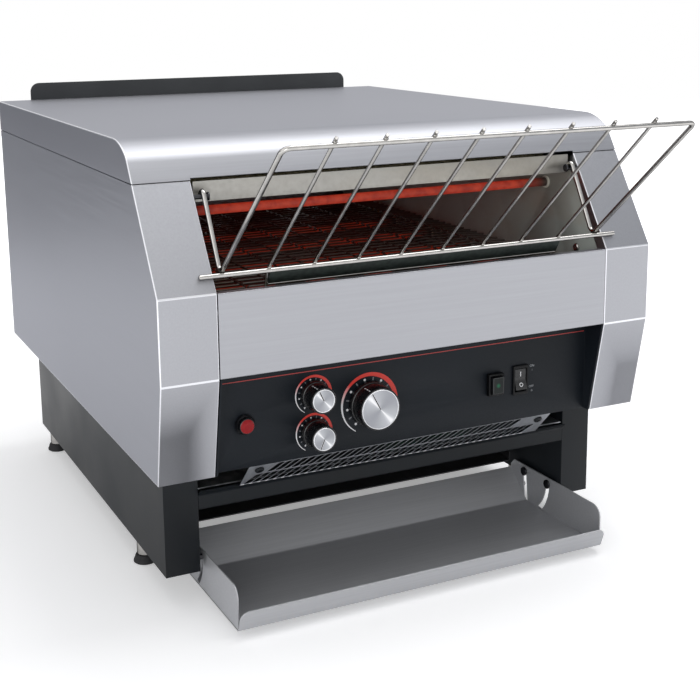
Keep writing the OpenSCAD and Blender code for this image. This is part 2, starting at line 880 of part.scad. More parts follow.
module drive_wheels() {
    color(dark_steel) stand() wheel_set(shaft_front);
}

module idler_wheels() {
    color(dark_steel) stand() wheel_set(shaft_back);
}

module shaft_bushes() {
    color(bronze) stand() for (side = [-1, 1], y = [shaft_front, shaft_back]) hand(side)
        difference() {
            union() {
                bar_x(bush_flange, leg_in - bush_t, leg_in, y, shaft_z);
                bar_x(bush_d, leg_in - bush_t, leg_in + bush_len, y, shaft_z);
            }
            bar_x(shaft_d + 2 * run_fit, leg_in - 10, leg_in + 20, y, shaft_z);
        }
}

// ---------------------------------------------------------------- drive and cooling

driven_mid = [shaft_front, shaft_z];
pinion_mid = [motor_y, motor_z];
centre_step = norm(pinion_mid - driven_mid);
centre_angle = atan2(pinion_mid.y - driven_mid.y, pinion_mid.x - driven_mid.x);
wrap_angle = acos((driven_r - pinion_r) / centre_step);

// Closed outline of a chain round both sprockets, moved outwards by k.
function chain_line(k) = concat(
    arc(driven_mid, driven_r + k, centre_angle + wrap_angle, centre_angle - wrap_angle + 360, 24),
    arc(pinion_mid, pinion_r + k, centre_angle - wrap_angle, centre_angle + wrap_angle, 14)
);

module drive_chain() {
    color(dark_steel) stand() across(chain_w, chain_x) difference() {
        polygon(chain_line(chain_t));
        polygon(chain_line(gap));
    }
}

// A flat sprocket whose rim is notched between its teeth.
module sprocket(mid, r, teeth, bore) {
    difference() {
        bar_x(2 * r, chain_x - sprocket_w / 2, chain_x + sprocket_w / 2, mid.x, mid.y);
        bar_x(bore, chain_x - 5, chain_x + 5, mid.x, mid.y);
        for (i = [0:teeth - 1])
            bar_x(3.6, chain_x - 5, chain_x + 5, mid.x + (r + 0.4) * cos(i * 360 / teeth),
                  mid.y + (r + 0.4) * sin(i * 360 / teeth));
    }
}

module driven_sprocket() {
    color(zinc) stand() sprocket(driven_mid, driven_r, 28, shaft_d + 0.04);
}

module motor_sprocket() {
    color(zinc) stand() {
        sprocket(pinion_mid, pinion_r, 14, motor_shaft_d - 1);
        bar_x(motor_shaft_d, leg_in - 30, chain_x + 5, motor_y, motor_z);
    }
}

module gearmotor() {
    right = room_half;
    left = right - gearbox.x;
    color(zinc) stand() difference() {
        union() {
            block([left, motor_y - gearbox.y / 2, motor_z - gearbox.z / 2],
                  [right, motor_y + gearbox.y / 2, motor_z + gearbox.z / 2]);
            bar_x(can_d, left - can_len, left + 1, motor_y, motor_z);
        }
        bar_x(motor_shaft_d + 2 * run_fit, right - 32, right + 5, motor_y, motor_z);
    }
}

module fan_frame() {
    wall = -room_half;
    color(plastic_black) stand() {
        difference() {
            block([wall, fan_y - fan_size / 2, fan_z - fan_size / 2],
                  [wall + fan_depth, fan_y + fan_size / 2, fan_z + fan_size / 2]);
            bar_x(fan_bore, wall - 1, wall + fan_depth + 1, fan_y, fan_z);
            for (a = [-1, 1], b = [-1, 1])
                bar_x(screw_d + 0.4, wall - 1, wall + fan_depth + 1,
                      fan_y + a * (fan_size / 2 - 5), fan_z + b * (fan_size / 2 - 5));
        }
        difference() {
            union() {
                bar_x(fan_hub, wall + 1, wall + 4, fan_y, fan_z);
                bar_x(8, wall + 1, wall + 10, fan_y, fan_z);
                for (a = [45, 165, 285]) translate([wall + 1, fan_y, fan_z]) rotate([a, 0, 0])
                    translate([0, 0, -2]) cube([3, fan_bore / 2 + 1, 4]);
            }
            bar_x(3 + 2 * run_fit, wall - 1, wall + 20, fan_y, fan_z);
        }
    }
}

module fan_impeller() {
    back = -room_half + 5;
    front = -room_half + fan_depth - 2;
    color(plastic_black) stand() {
        difference() {
            bar_x(fan_hub, back, front, fan_y, fan_z);
            bar_x(fan_hub - 6, back - 1, front - 3, fan_y, fan_z);
        }
        bar_x(3, back - 2, front - 2, fan_y, fan_z);
        intersection() {
            difference() {
                bar_x(fan_bore - 3, back, front, fan_y, fan_z);
                bar_x(fan_hub - 1, back - 1, front + 1, fan_y, fan_z);
            }
            for (i = [0:fan_blades - 1])
                translate([(back + front) / 2, fan_y, fan_z]) rotate([i * 360 / fan_blades, 0, 0])
                    rotate([0, 0, 38]) translate([-0.9, -17, 0]) cube([1.8, 34, fan_bore / 2]);
        }
    }
}

// ---------------------------------------------------------------- toast path

// Point of the slide's curve between its steep back and its level end.
function slide_point(t) =
    let (a = [slide_back, slide_turn], b = [slide_back - 23, tray_z + 54], c = slide_end)
    a * (1 - t) * (1 - t) + b * 2 * t * (1 - t) + c * t * t;

slide_steps = 16;
slide_path = concat(
    [[side_back - sheet - gap, slide_top], [slide_back, slide_top]],
    [for (i = [0:slide_steps]) slide_point(i / slide_steps)]
);

module toast_slide() {
    side_wall = [for (i = [2:len(slide_path) - 1]) slide_path[i]];
    color(stainless) stand() {
        across(2 * slide_half) bent(reversed(slide_path), sheet);
        for (side = [-1, 1]) across(sheet, side * (slide_half - sheet / 2))
            bent(reversed(side_wall), 10);
        for (side = [-1, 1], t = [0.3, 0.88]) {
            p = slide_point(t);
            hand(side) block([slide_half - 1, p.x - 8, p.y + 3], [leg_in - gap, p.x + 8, p.y + 3 + sheet]);
        }
    }
}

// Cut for a pin that swings round the rear pins as the tray tips.
module swing_slot() {
    r = pin_step;
    sweep = 62;
    polygon(concat(
        arc([pivot_y, pin_z], r + slot_w / 2, 180, 180 + sweep, 14),
        arc([pivot_y, pin_z], r - slot_w / 2, 180 + sweep, 180, 14)
    ));
    translate([pin_y, pin_z]) circle(d = slot_w);
}

// Cut for a rear pin, open at the wall's lower edge.
module rear_slot() {
    translate([pivot_y, pin_z]) circle(d = slot_w);
    polygon([
        [pivot_y - slot_w / 2, pin_z], [pivot_y - slot_w / 2 - 4, tray_z - 2],
        [pivot_y + slot_w / 2 - 4, tray_z - 2], [pivot_y + slot_w / 2, pin_z]
    ]);
}

module discharge_tray() {
    front = -tray_front;
    top = tray_z + tray_wall;
    r = tray_corner;
    floor_path = [
        [front - lip_lean, tray_z + lip_h], [front, tray_z], [ramp_y, tray_z],
        [tray_rear, tray_z + ramp_rise]
    ];
    side = concat(
        [[front + 1, tray_z], [ramp_y, tray_z], [tray_rear, tray_z + ramp_rise],
         [tray_rear, top - 6], [tray_rear - 6, top]],
        arc([front + 1 + r, top - r], r, 90, 180, 8)
    );
    color(stainless) stand() difference() {
        union() {
            across(tray_w) bent(floor_path, sheet);
            for (s = [-1, 1]) across(sheet, s * (tray_half - sheet / 2)) polygon(side);
        }
        for (s = [-1, 1]) across(8, s * (tray_half - 1)) {
            swing_slot();
            rear_slot();
        }
    }
}

// ---------------------------------------------------------------- electrics

shelf = room_floor + sheet;

module control_board() {
    low = [15, 95, shelf + 7];
    color(board_green) stand() {
        block(low, low + [90, 50, 1.6]);
        for (p = [[5, 5], [85, 5], [5, 45], [85, 45]])
            translate([low.x + p.x, low.y + p.y, shelf]) cylinder(d = 6, h = 7.5);
        block(low + [12, 8, 1], low + [34, 28, 24]);
        block(low + [42, 12, 1], low + [60, 24, 12]);
        block(low + [66, 8, 1], low + [80, 40, 16]);
        for (i = [0:2]) translate(low + [18 + 14 * i, 38, 1]) cylinder(d = 9, h = 15);
    }
}

module contactors() {
    color(plastic_black) stand() for (x = [-70, -15]) {
        block([x - 22, 150, shelf], [x + 22, 215, shelf + 40]);
        block([x - 18, 158, shelf + 39], [x + 18, 207, shelf + 58]);
        for (i = [-1, 0, 1]) bar_y(6, 146, 151, x + 13 * i, shelf + 30);
    }
}

module terminal_block() {
    low = [30, room_back - sheet - 26, shelf];
    color(ceramic) stand() difference() {
        block(low, low + [60, 24, 22]);
        for (i = [0:4]) translate([low.x + 6 + 12 * i, low.y + 12, low.z + 12]) cylinder(d = 7, h = 20);
    }
}

bushing_d = stem_hole - 0.6;
spindle_d = 6;
control_face = panel_back + panel_t;
control_deep = 24;

// A rotary control behind the panel, with its threaded neck through it.
module control_body(p, size) {
    difference() {
        union() {
            block([p.x - size / 2, control_face, p.y - size / 2],
                  [p.x + size / 2, control_face + control_deep, p.y + size / 2]);
            bar_y(bushing_d, panel_back - 4, control_face + 1, p.x, p.y);
        }
        bar_y(spindle_d + 2 * run_fit, panel_back - 10, control_face + 18, p.x, p.y);
    }
}

module control_bodies() {
    color(plastic_black) stand() {
        control_body([heat_x, heat_upper_z], 31);
        control_body([heat_x, heat_lower_z], 31);
        control_body([speed_x, speed_z], 36);
    }
}

cap_t = 1.2;
cap_rim = 1.3;

// A knob with a flared skirt, a recess for its cap and a spindle in its blind bore.
module knob(p, d) {
    front = panel_back - knob_h;
    skirt = panel_back - 0.6;
    difference() {
        union() {
            translate([p.x, skirt, p.y]) rotate([90, 0, 0])
                cylinder(d1 = d + 2.5, d2 = d + 1.5, h = 5);
            bar_y(d, front, skirt - 4, p.x, p.y);
        }
        bar_y(d - 2 * cap_rim, front - 1, front + cap_t, p.x, p.y);
        bar_y(bushing_d + 2 * gap, panel_back - 4 - gap, panel_back, p.x, p.y);
        bar_y(spindle_d, front + 7, panel_back, p.x, p.y);
    }
    bar_y(spindle_d, front + 7, control_face + 16, p.x, p.y);
}

module cap(p, d) {
    front = panel_back - knob_h;
    bar_y(d - 2 * (cap_rim + run_fit), front - 0.2, front + cap_t, p.x, p.y);
}

module top_heat_knob() {
    color(plastic_black) stand() knob([heat_x, heat_upper_z], heat_d);
}

module bottom_heat_knob() {
    color(plastic_black) stand() knob([heat_x, heat_lower_z], heat_d);
}

module speed_knob() {
    color(plastic_black) stand() knob([speed_x, speed_z], speed_d);
}

module top_heat_cap() {
    color(chrome) stand() cap([heat_x, heat_upper_z], heat_d);
}

module bottom_heat_cap() {
    color(chrome) stand() cap([heat_x, heat_lower_z], heat_d);
}

module speed_cap() {
    color(chrome) stand() cap([speed_x, speed_z], speed_d);
}

module indicator_lamp() {
    color(plastic_black) stand() difference() {
        union() {
            bar_y(lamp_d, panel_back - 3, panel_back, lamp_at, row_z);
            bar_y(body_hole - 2 * gap, panel_back - 1, panel_back + 26, lamp_at, row_z);
        }
        bar_y(lens_d, panel_back - 4, panel_back - 1.5, lamp_at, row_z);
    }
}

module indicator_lens() {
    rim = panel_back - 1.5;
    color(lens_red) stand() {
        bar_y(lens_d - 0.2, rim - 3.5, rim, lamp_at, row_z);
        translate([lamp_at, rim - 3.5, row_z]) rotate([90, 0, 0])
            cylinder(d1 = lens_d - 0.2, d2 = lens_d - 4, h = 2.2);
    }
}

module saver_switch() {
    w = button_frame.x / 2;
    h = button_frame.y / 2;
    bw = button.x / 2 + gap;
    bh = button.y / 2 + gap;
    color(plastic_black) stand() difference() {
        union() {
            block([saver_x - w, panel_back - button_stand, row_z - h],
                  [saver_x + w, panel_back, row_z + h]);
            block([saver_x - bw - 0.5, panel_back - 1, row_z - bh - 0.5],
                  [saver_x + bw + 0.5, panel_back + 24, row_z + bh + 0.5]);
        }
        block([saver_x - bw, panel_back - 20, row_z - bh], [saver_x + bw, panel_back + 14, row_z + bh]);
    }
}

module saver_button() {
    color(plastic_black) stand()
        block([saver_x - button.x / 2, panel_back - button_stand - saver_travel - 0.8,
               row_z - button.y / 2],
              [saver_x + button.x / 2, panel_back + 14 - saver_travel - 1,
               row_z + button.y / 2]);
}

module rocker_switch() {
    w = switch_size.x / 2;
    h = switch_size.y / 2;
    rw = rocker_size.x / 2 + gap;
    rh = rocker_size.y / 2 + gap;
    color(plastic_black) stand() difference() {
        union() {
            block([switch_x - w, panel_back - switch_stand, row_z - h],
                  [switch_x + w, panel_back, row_z + h]);
            block([switch_x - rw - 0.5, panel_back - 1, row_z - rh - 0.5],
                  [switch_x + rw + 0.5, panel_back + 24, row_z + rh + 0.5]);
        }
        block([switch_x - rw, panel_back - 10, row_z - rh], [switch_x + rw, panel_back + 12, row_z + rh]);
    }
}

// Rocker with two sloping halves, tipped with its upper half pressed in.
module rocker() {
    h = rocker_size.y / 2 - 0.6;
    dip = h * tan(rocker_tilt);
    color(plastic_black) stand() translate([switch_x, panel_back + 2, row_z])
        rotate([-rocker_tilt, 0, 0]) across(rocker_size.x)
            polygon([[-3 - dip, -h], [-3, 0], [-3 - dip, h], [3, h - 2.5], [3, -h + 2.5]]);
}

// ---------------------------------------------------------------- screws

module screw_back(x, y, z) {
    bar_y(head_d, y, y + head_h, x, z);
}

module screws() {
    color(chrome) stand() {
        for (x = [-150, 0, 150]) screw_back(x, body_d + deflector_t, body_h - 14);
        for (x = [-1, 1], z = [panel_low + 16, flange_low - 30])
            screw_back(x * (half_w - 14), side_back, z);
        for (side = [-1, 1]) hand(side) {
            bar_x(head_d, leg_in - head_h, leg_in, 0.84 * hood_back, feed_low - 6);
            bar_x(head_d, leg_in - head_h, leg_in, wall_back - 60, reflector_z - 60);
        }
        for (side = [-1, 1]) translate([side * grille_hole, grille_foot.x, grille_foot.y])
            rotate([grille_angle, 0, 0]) translate([0, 0.72 * grille_len, 0])
                cylinder(d = head_d, h = head_h);
    }
}

top_cover();
left_side_panel();
right_side_panel();
front_panel();
control_panel();
rear_panel();
rear_deflector();
left_leg();
right_leg();
base_rear_panel();
base_bottom_pan();
front_crossbar();
component_floor();
inlet_grille();
foot_stems();
foot_pads();
feed_rack();
hanger_studs();
feed_plate();
left_chamber_wall();
right_chamber_wall();
chamber_floor();
top_reflector();
bottom_reflector();
top_insulation();
top_elements();
bottom_elements();
element_insulators();
conveyor_belt();
drive_shaft();
drive_wheels();
idler_shaft();
idler_wheels();
shaft_bushes();
gearmotor();
motor_sprocket();
driven_sprocket();
drive_chain();
fan_frame();
fan_impeller();
toast_slide();
discharge_tray();
control_board();
contactors();
terminal_block();
control_bodies();
top_heat_knob();
bottom_heat_knob();
speed_knob();
top_heat_cap();
bottom_heat_cap();
speed_cap();
indicator_lamp();
indicator_lens();
saver_switch();
saver_button();
rocker_switch();
rocker();
cord_gland();
screws();
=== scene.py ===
"""Looks of a counter-top conveyor toaster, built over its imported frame.

Sizes are in millimetres on the toaster's own drawing lines: x runs to the right
from the middle, y runs back from the vertical front face and z rises from the
worktop. One function turns them into metres in the shared frame.
"""

from __future__ import annotations

import logging
import math
import random
from collections.abc import Callable, Iterable, Sequence
from dataclasses import dataclass
from enum import Enum

import bmesh
import bpy
from mathutils import Matrix, Vector


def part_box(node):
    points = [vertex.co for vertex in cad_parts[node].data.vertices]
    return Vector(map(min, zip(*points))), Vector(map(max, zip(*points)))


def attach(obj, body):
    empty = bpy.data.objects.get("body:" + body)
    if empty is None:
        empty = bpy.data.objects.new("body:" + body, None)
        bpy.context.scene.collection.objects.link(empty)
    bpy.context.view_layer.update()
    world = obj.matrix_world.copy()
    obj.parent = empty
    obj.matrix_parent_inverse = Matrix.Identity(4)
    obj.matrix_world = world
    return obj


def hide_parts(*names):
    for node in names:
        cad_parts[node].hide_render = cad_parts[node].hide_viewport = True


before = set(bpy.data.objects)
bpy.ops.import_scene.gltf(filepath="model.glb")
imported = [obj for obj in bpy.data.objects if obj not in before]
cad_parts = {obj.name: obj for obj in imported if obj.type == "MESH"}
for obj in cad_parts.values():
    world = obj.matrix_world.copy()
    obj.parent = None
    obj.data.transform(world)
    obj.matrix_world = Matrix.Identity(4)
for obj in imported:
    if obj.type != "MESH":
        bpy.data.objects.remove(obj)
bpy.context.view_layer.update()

LOG = logging.getLogger("toaster")
MM = 0.001
SHARP = math.radians(35)
TOUCHING = 1e-6
UP, BACK, RIGHT = Vector((0, 0, 1)), Vector((0, 1, 0)), Vector((1, 0, 0))
UPRIGHT = Matrix.Rotation(math.pi / 2, 4, "X")
FACE_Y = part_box("front_panel")[0].y
Point = tuple[float, float]
BMesh, BMVert, BMEdge = bmesh.types.BMesh, bmesh.types.BMVert, bmesh.types.BMEdge
Tree, Node, Socket = bpy.types.NodeTree, bpy.types.Node, bpy.types.NodeSocket


class Body(str, Enum):
    """Bodies of the frame that a piece can ride on."""

    TOASTER = "toaster"
    DRIVE = "drive_shaft_set"
    IDLER = "idler_shaft_set"
    MOTOR = "motor_output"
    FAN = "fan_rotor"
    TOP_HEAT = "top_heat_control"
    BOTTOM_HEAT = "bottom_heat_control"
    SPEED = "speed_control"
    ROCKER = "power_rocker"
    SAVER = "power_save_button"
    TRAY = "tray"
    RACK = "rack"


class Slot(str, Enum):
    """Material slots of the record."""

    STAINLESS = "stainless"
    HEAT_TINTED = "heat_tinted_steel"
    BASE = "base_black"
    PANEL = "panel_black"
    WIRE = "bright_wire"
    ZINC = "zinc_steel"
    CERAMIC = "ceramic"
    BRONZE = "bronze"
    WOOL = "wool"
    RUBBER = "rubber"
    PLASTIC = "black_plastic"
    BOARD = "board_green"
    KNOB = "knob_silver"
    LENS = "red_lens"


# ---------------------------------------------------------------- places and outlines


def at(x: float, y: float, z: float) -> Vector:
    """Turns a place on the drawing lines into the shared frame.

    Args:
        x: Distance to the right of the middle, in millimetres.
        y: Distance behind the vertical front face, in millimetres.
        z: Height above the worktop, in millimetres.

    Returns:
        The place in metres.
    """
    return Vector((x * MM, FACE_Y + y * MM, z * MM))


def arc(mid: Point, radius: float, start: float, end: float, steps: int) -> list[Point]:
    """Gives the points of an arc in a plane.

    Args:
        mid: Centre of the arc.
        radius: Radius of the arc.
        start: First angle in degrees, anticlockwise from the first axis.
        end: Last angle in degrees.
        steps: Number of equal parts.

    Returns:
        The points from start to end.
    """
    turns = [math.radians(start + (end - start) * i / steps) for i in range(steps + 1)]
    return [(mid[0] + radius * math.cos(t), mid[1] + radius * math.sin(t)) for t in turns]


def moved_left(path: Sequence[Point], gap: float) -> list[Point]:
    """Offsets an open path to its left, with mitred corners.

    Args:
        path: Points of the path.
        gap: Distance to move it by.

    Returns:
        The points of the moved path.
    """
    flat = [Vector(p) for p in path]
    ways = [(b - a).normalized() for a, b in zip(flat, flat[1:])]
    out = []
    for i, p in enumerate(flat):
        before, after = ways[max(i - 1, 0)], ways[min(i, len(ways) - 1)]
        n0, n1 = Vector((-before.y, before.x)), Vector((-after.y, after.x))
        out.append(tuple(p + (n0 + n1) * gap / (1 + n0.dot(n1))))
    return out


# ---------------------------------------------------------------- mesh work


def verts_of(geom: Iterable) -> list[BMVert]:
    """Picks the vertices out of an operator's result."""
    return [g for g in geom if isinstance(g, BMVert)]


def loop(bm: BMesh, places: Sequence[Vector]) -> list[BMEdge]:
    """Draws a closed loop of edges.

    Args:
        bm: Mesh to draw in.
        places: Corners of the loop, in order.

    Returns:
        The loop's edges.
    """
    verts = [bm.verts.new(p) for p in places]
    return [bm.edges.new((a, b)) for a, b in zip(verts, verts[1:] + verts[:1])]


def slab(bm: BMesh, places: Sequence[Vector], depth: Vector) -> None:
    """Extrudes a flat outline into a closed solid.

    Args:
        bm: Mesh to build in.
        places: Corners of the outline, in order.
        depth: Direction and length of the extrusion, in metres.
    """
    face = bm.faces.new([bm.verts.new(p) for p in places])
    out = bmesh.ops.extrude_face_region(bm, geom=[face], use_keep_orig=True)
    moved = verts_of(out["geom"])
    bmesh.ops.translate(bm, verts=moved, vec=depth)
    faces = {f for v in [*face.verts, *moved] for f in v.link_faces}
    bmesh.ops.recalc_face_normals(bm, faces=list(faces))


def box(bm: BMesh, low: Vector, high: Vector) -> list[BMVert]:
    """Builds a box between two corners.

    Args:
        bm: Mesh to build in.
        low: Corner with the lowest values.
        high: Corner with the highest values.

    Returns:
        The box's vertices.
    """
    size = high - low
    made = bmesh.ops.create_cube(
        bm, size=1, matrix=Matrix.Translation((low + high) / 2) @ Matrix.Diagonal((*size, 1))
    )
    return made["verts"]


def pierced(
    bm: BMesh, outer: Sequence[Vector], holes: Iterable[Sequence[Vector]]
) -> None:
    """Fills a flat outline and leaves its holes open.

    Args:
        bm: Mesh to build in.
        outer: Corners of the outline, in order.
        holes: Corners of each hole, in order.
    """
    edges = [e for outline in (outer, *holes) for e in loop(bm, outline)]
    bmesh.ops.triangle_fill(bm, use_beauty=True, use_dissolve=False, edges=edges)


def soften_edges(
    bm: BMesh, edges: Iterable[BMEdge], width: float, segments: int = 3,
    finish: int = -1,
) -> None:
    """Rounds some edges.

    Args:
        bm: Mesh to change.
        edges: The edges to round.
        width: Width of the rounding, in millimetres.
        segments: Number of parts across it.
        finish: Which of the piece's finishes the rounding wears, or -1 for that of its faces.
    """
    bmesh.ops.bevel(
        bm, geom=list(edges), offset=width * MM, offset_type="OFFSET", segments=segments,
        profile=0.5, affect="EDGES", clamp_overlap=True, material=finish,
    )


def folded(bm: BMesh, path: Sequence[Point], half: float, radius: float) -> None:
    """Folds a flat sheet along a path, as an open skin that a wall is given later.

    Args:
        bm: Mesh to build in.
        path: The sheet's outer line as y and z.
        half: Half of the sheet's width.
        radius: How far from each corner the fold starts to turn.
    """
    verts = [bm.verts.new(at(-half, y, z)) for y, z in path]
    edges = [bm.edges.new(pair) for pair in zip(verts, verts[1:])]
    out = bmesh.ops.extrude_edge_only(bm, edges=edges)
    bmesh.ops.translate(bm, verts=verts_of(out["geom"]), vec=RIGHT * (2 * half * MM))
    folds = [e for v in verts for e in v.link_edges if len(e.link_faces) == 2]
    soften_edges(bm, folds, radius, 4)


def turned(
    bm: BMesh, profile: Sequence[Point], base: Vector, way: Vector, steps: int = 40
) -> None:
    """Turns a profile round an axis, as on a lathe.

    Args:
        bm: Mesh to build in.
        profile: Radius and distance along the axis of each point, in millimetres.
        base: Start of the axis.
        way: Direction of the axis, of length 1.
        steps: Number of parts round the axis.
    """
    side = way.orthogonal().normalized()
    verts = [bm.verts.new(base + side * r * MM + way * h * MM) for r, h in profile]
    edges = [bm.edges.new(pair) for pair in zip(verts, verts[1:])]
    before = set(bm.verts) - set(verts)
    bmesh.ops.spin(
        bm, geom=verts + edges, cent=base, axis=way, dvec=(0, 0, 0), angle=math.tau,
        steps=steps, use_merge=True, use_duplicate=False,
    )
    made = [v for v in bm.verts if v not in before]
    bmesh.ops.remove_doubles(bm, verts=made, dist=1e-7)
    fresh = {f for v in bm.verts if v not in before for f in v.link_faces}
    bmesh.ops.recalc_face_normals(bm, faces=list(fresh))


def look_towards(bm: BMesh, way: Vector) -> None:
    """Turns an open skin's faces so that most of them look one way.

    Args:
        bm: Mesh to change.
        way: The direction to look in.
    """
    bmesh.ops.recalc_face_normals(bm, faces=bm.faces)
    if sum(f.normal.dot(way) * f.calc_area() for f in bm.faces) < 0:
        bmesh.ops.reverse_faces(bm, faces=bm.faces)


class Wire:
    """A round wire, drawn on through straights and bends from its first end."""

    def __init__(
        self, bm: BMesh, start: Vector, way: Vector, radius: float, sides: int = 12
    ) -> None:
        """Starts the wire with a closed end.

        Args:
            bm: Mesh to build in.
            start: Middle of the wire's end.
            way: Direction in which it sets off.
            radius: Radius of the wire, in millimetres.
            sides: Number of sides round it.
        """
        self.bm, self.mid, self.way = bm, start.copy(), way.normalized()
        turn = UP.rotation_difference(self.way).to_matrix().to_4x4()
        made = bmesh.ops.create_circle(
            bm, cap_ends=True, radius=radius * MM, segments=sides,
            matrix=Matrix.Translation(start) @ turn,
        )
        self.first = set(made["verts"])
        self.ring = self._edges(made["verts"])

    def _edges(self, verts: Iterable[BMVert]) -> list[BMEdge]:
        """Returns the edges that join these vertices to each other."""
        inside = set(verts)
        return list({e for v in inside for e in v.link_edges if set(e.verts) <= inside})

    def run(self, length: float, taper: float = 1.0) -> None:
        """Draws a straight.

        Args:
            length: Length of the straight, in metres.
            taper: Size of its far end beside its near end.
        """
        out = bmesh.ops.extrude_edge_only(self.bm, edges=self.ring)
        verts = verts_of(out["geom"])
        bmesh.ops.translate(self.bm, verts=verts, vec=self.way * length)
        self.mid += self.way * length
        if taper != 1.0:
            bmesh.ops.scale(
                self.bm, verts=verts, vec=(taper,) * 3, space=Matrix.Translation(-self.mid)
            )
        self.ring = self._edges(verts)

    def turn(self, hub: Vector, axis: Vector, angle: float, steps: int) -> None:
        """Draws a bend.

        Args:
            hub: Centre of the bend.
            axis: Axis that it turns about.
            angle: Angle of the bend, in radians.
            steps: Number of parts along it.
        """
        ends = list({v for e in self.ring for v in e.verts})
        out = bmesh.ops.spin(
            self.bm, geom=ends + self.ring, cent=hub, axis=axis, dvec=(0, 0, 0),
            angle=angle, steps=steps, use_merge=False, use_duplicate=False,
        )
        spun = Matrix.Rotation(angle, 3, axis)
        self.mid = hub + spun @ (self.mid - hub)
        self.way = (spun @ self.way).normalized()
        self.ring = self._edges(verts_of(out["geom_last"]))

    def follow(self, places: Sequence[Vector], radius: float, steps: int = 6) -> None:
        """Draws on through some points, with a bend at each but the last.

        Args:
            places: The points that the straights meet at.
            radius: Radius of each bend, in metres.
            steps: Number of parts along each bend.
        """
        for here, there in zip(places, [*places[1:], None]):
            if there is None:
                self.run((here - self.mid).length)
                return
            after = (there - here).normalized()
            bend = self.way.angle(after)
            cut = radius * math.tan(bend / 2)
            self.run((here - self.mid).length - cut)
            axis = self.way.cross(after).normalized()
            hub = self.mid + axis.cross(self.way) * radius
            self.turn(hub, axis, bend, steps)

    def close(self) -> None:
        """Closes the wire's far end and turns its faces outwards."""
        bmesh.ops.edgeloop_fill(self.bm, edges=self.ring)
        seen, todo = set(), list(self.first)
        while todo:
            v = todo.pop()
            if v not in seen:
                seen.add(v)
                todo += [e.other_vert(v) for e in v.link_edges]
        bmesh.ops.recalc_face_normals(
            self.bm, faces=list({f for v in seen for f in v.link_faces})
        )


def straight_wire(
    bm: BMesh, a: Vector, b: Vector, radius: float, sides: int = 12
) -> None:
    """Draws a straight wire with chamfered ends.

    Args:
        bm: Mesh to build in.
        a: Middle of one end.
        b: Middle of the other end.
        radius: Radius of the wire, in millimetres.
        sides: Number of sides round it.
    """
    flat = 0.7
    chamfer = (1 - flat) * radius * MM
    made = Wire(bm, a, b - a, flat * radius, sides)
    made.run(chamfer, 1 / flat)
    made.run((b - a).length - 2 * chamfer)
    made.run(chamfer, flat)
    made.close()


# ---------------------------------------------------------------- finishes


def linear(colour: str) -> tuple[float, float, float, float]:
    """Turns an sRGB hex colour into linear values.

    Args:
        colour: The colour, such as "#c8c9cc".

    Returns:
        Red, green, blue and a full alpha.
    """
    parts = [int(colour[i : i + 2], 16) / 255 for i in (1, 3, 5)]
    return (*(p / 12.92 if p <= 0.04045 else ((p + 0.055) / 1.055) ** 2.4 for p in parts), 1.0)


def add_node(
    tree: Tree,
    kind: str,
    settings: dict[str | int, object] | None = None,
    links: dict[str | int, Socket] | None = None,
) -> Node:
    """Adds one shader node.

    Args:
        tree: Node tree of the material or world.
        kind: Type of node, without the "ShaderNode" that all of them start with.
        settings: Values of its properties and sockets by name or socket number. Those of
            a colour ramp are the position and sRGB hex colour of each stop.
        links: Sockets that feed its sockets.

    Returns:
        The new node.
    """
    made = tree.nodes.new(f"ShaderNode{kind}")
    values = dict(settings or {})
    for key in [k for k in values if isinstance(k, str) and hasattr(made, k)]:
        value = values.pop(key)
        if key == "color_ramp":
            stops = made.color_ramp.elements
            while len(stops) < len(value):
                stops.new(0.5)
            for stop, (place, colour) in zip(stops, value):
                stop.position, stop.color = place, linear(colour)
        else:
            setattr(made, key, value)
    for key, value in values.items():
        made.inputs[key].default_value = value
    for key, source in (links or {}).items():
        tree.links.new(source, made.inputs[key])
    return made


@dataclass(frozen=True)
class Pattern:
    """A noise that stays in place on its piece, with its size in millimetres."""

    size: float | tuple[float, float, float]
    detail: float = 2.0

    def lay(self, tree: Tree) -> Socket:
        """Adds the pattern's nodes.

        Args:
            tree: Node tree of the material.

        Returns:
            The socket that carries the pattern.
        """
        sizes = self.size if isinstance(self.size, tuple) else (self.size,) * 3
        place = add_node(
            tree, "Mapping", {"Scale": [1 / (size * MM) for size in sizes]},
            {"Vector": add_node(tree, "TexCoord").outputs["Object"]},
        ).outputs["Vector"]
        return add_node(
            tree, "TexNoise", {"Scale": 1.0, "Detail": self.detail}, {"Vector": place}
        ).outputs["Fac"]


class Grain(Enum):
    """Direction of a brushed sheet's grain, drawn at 1.6 mm so that it shows."""

    ACROSS = Pattern((111.1, 1.613, 1.613))
    DEEP = Pattern((1.613, 111.1, 1.613))


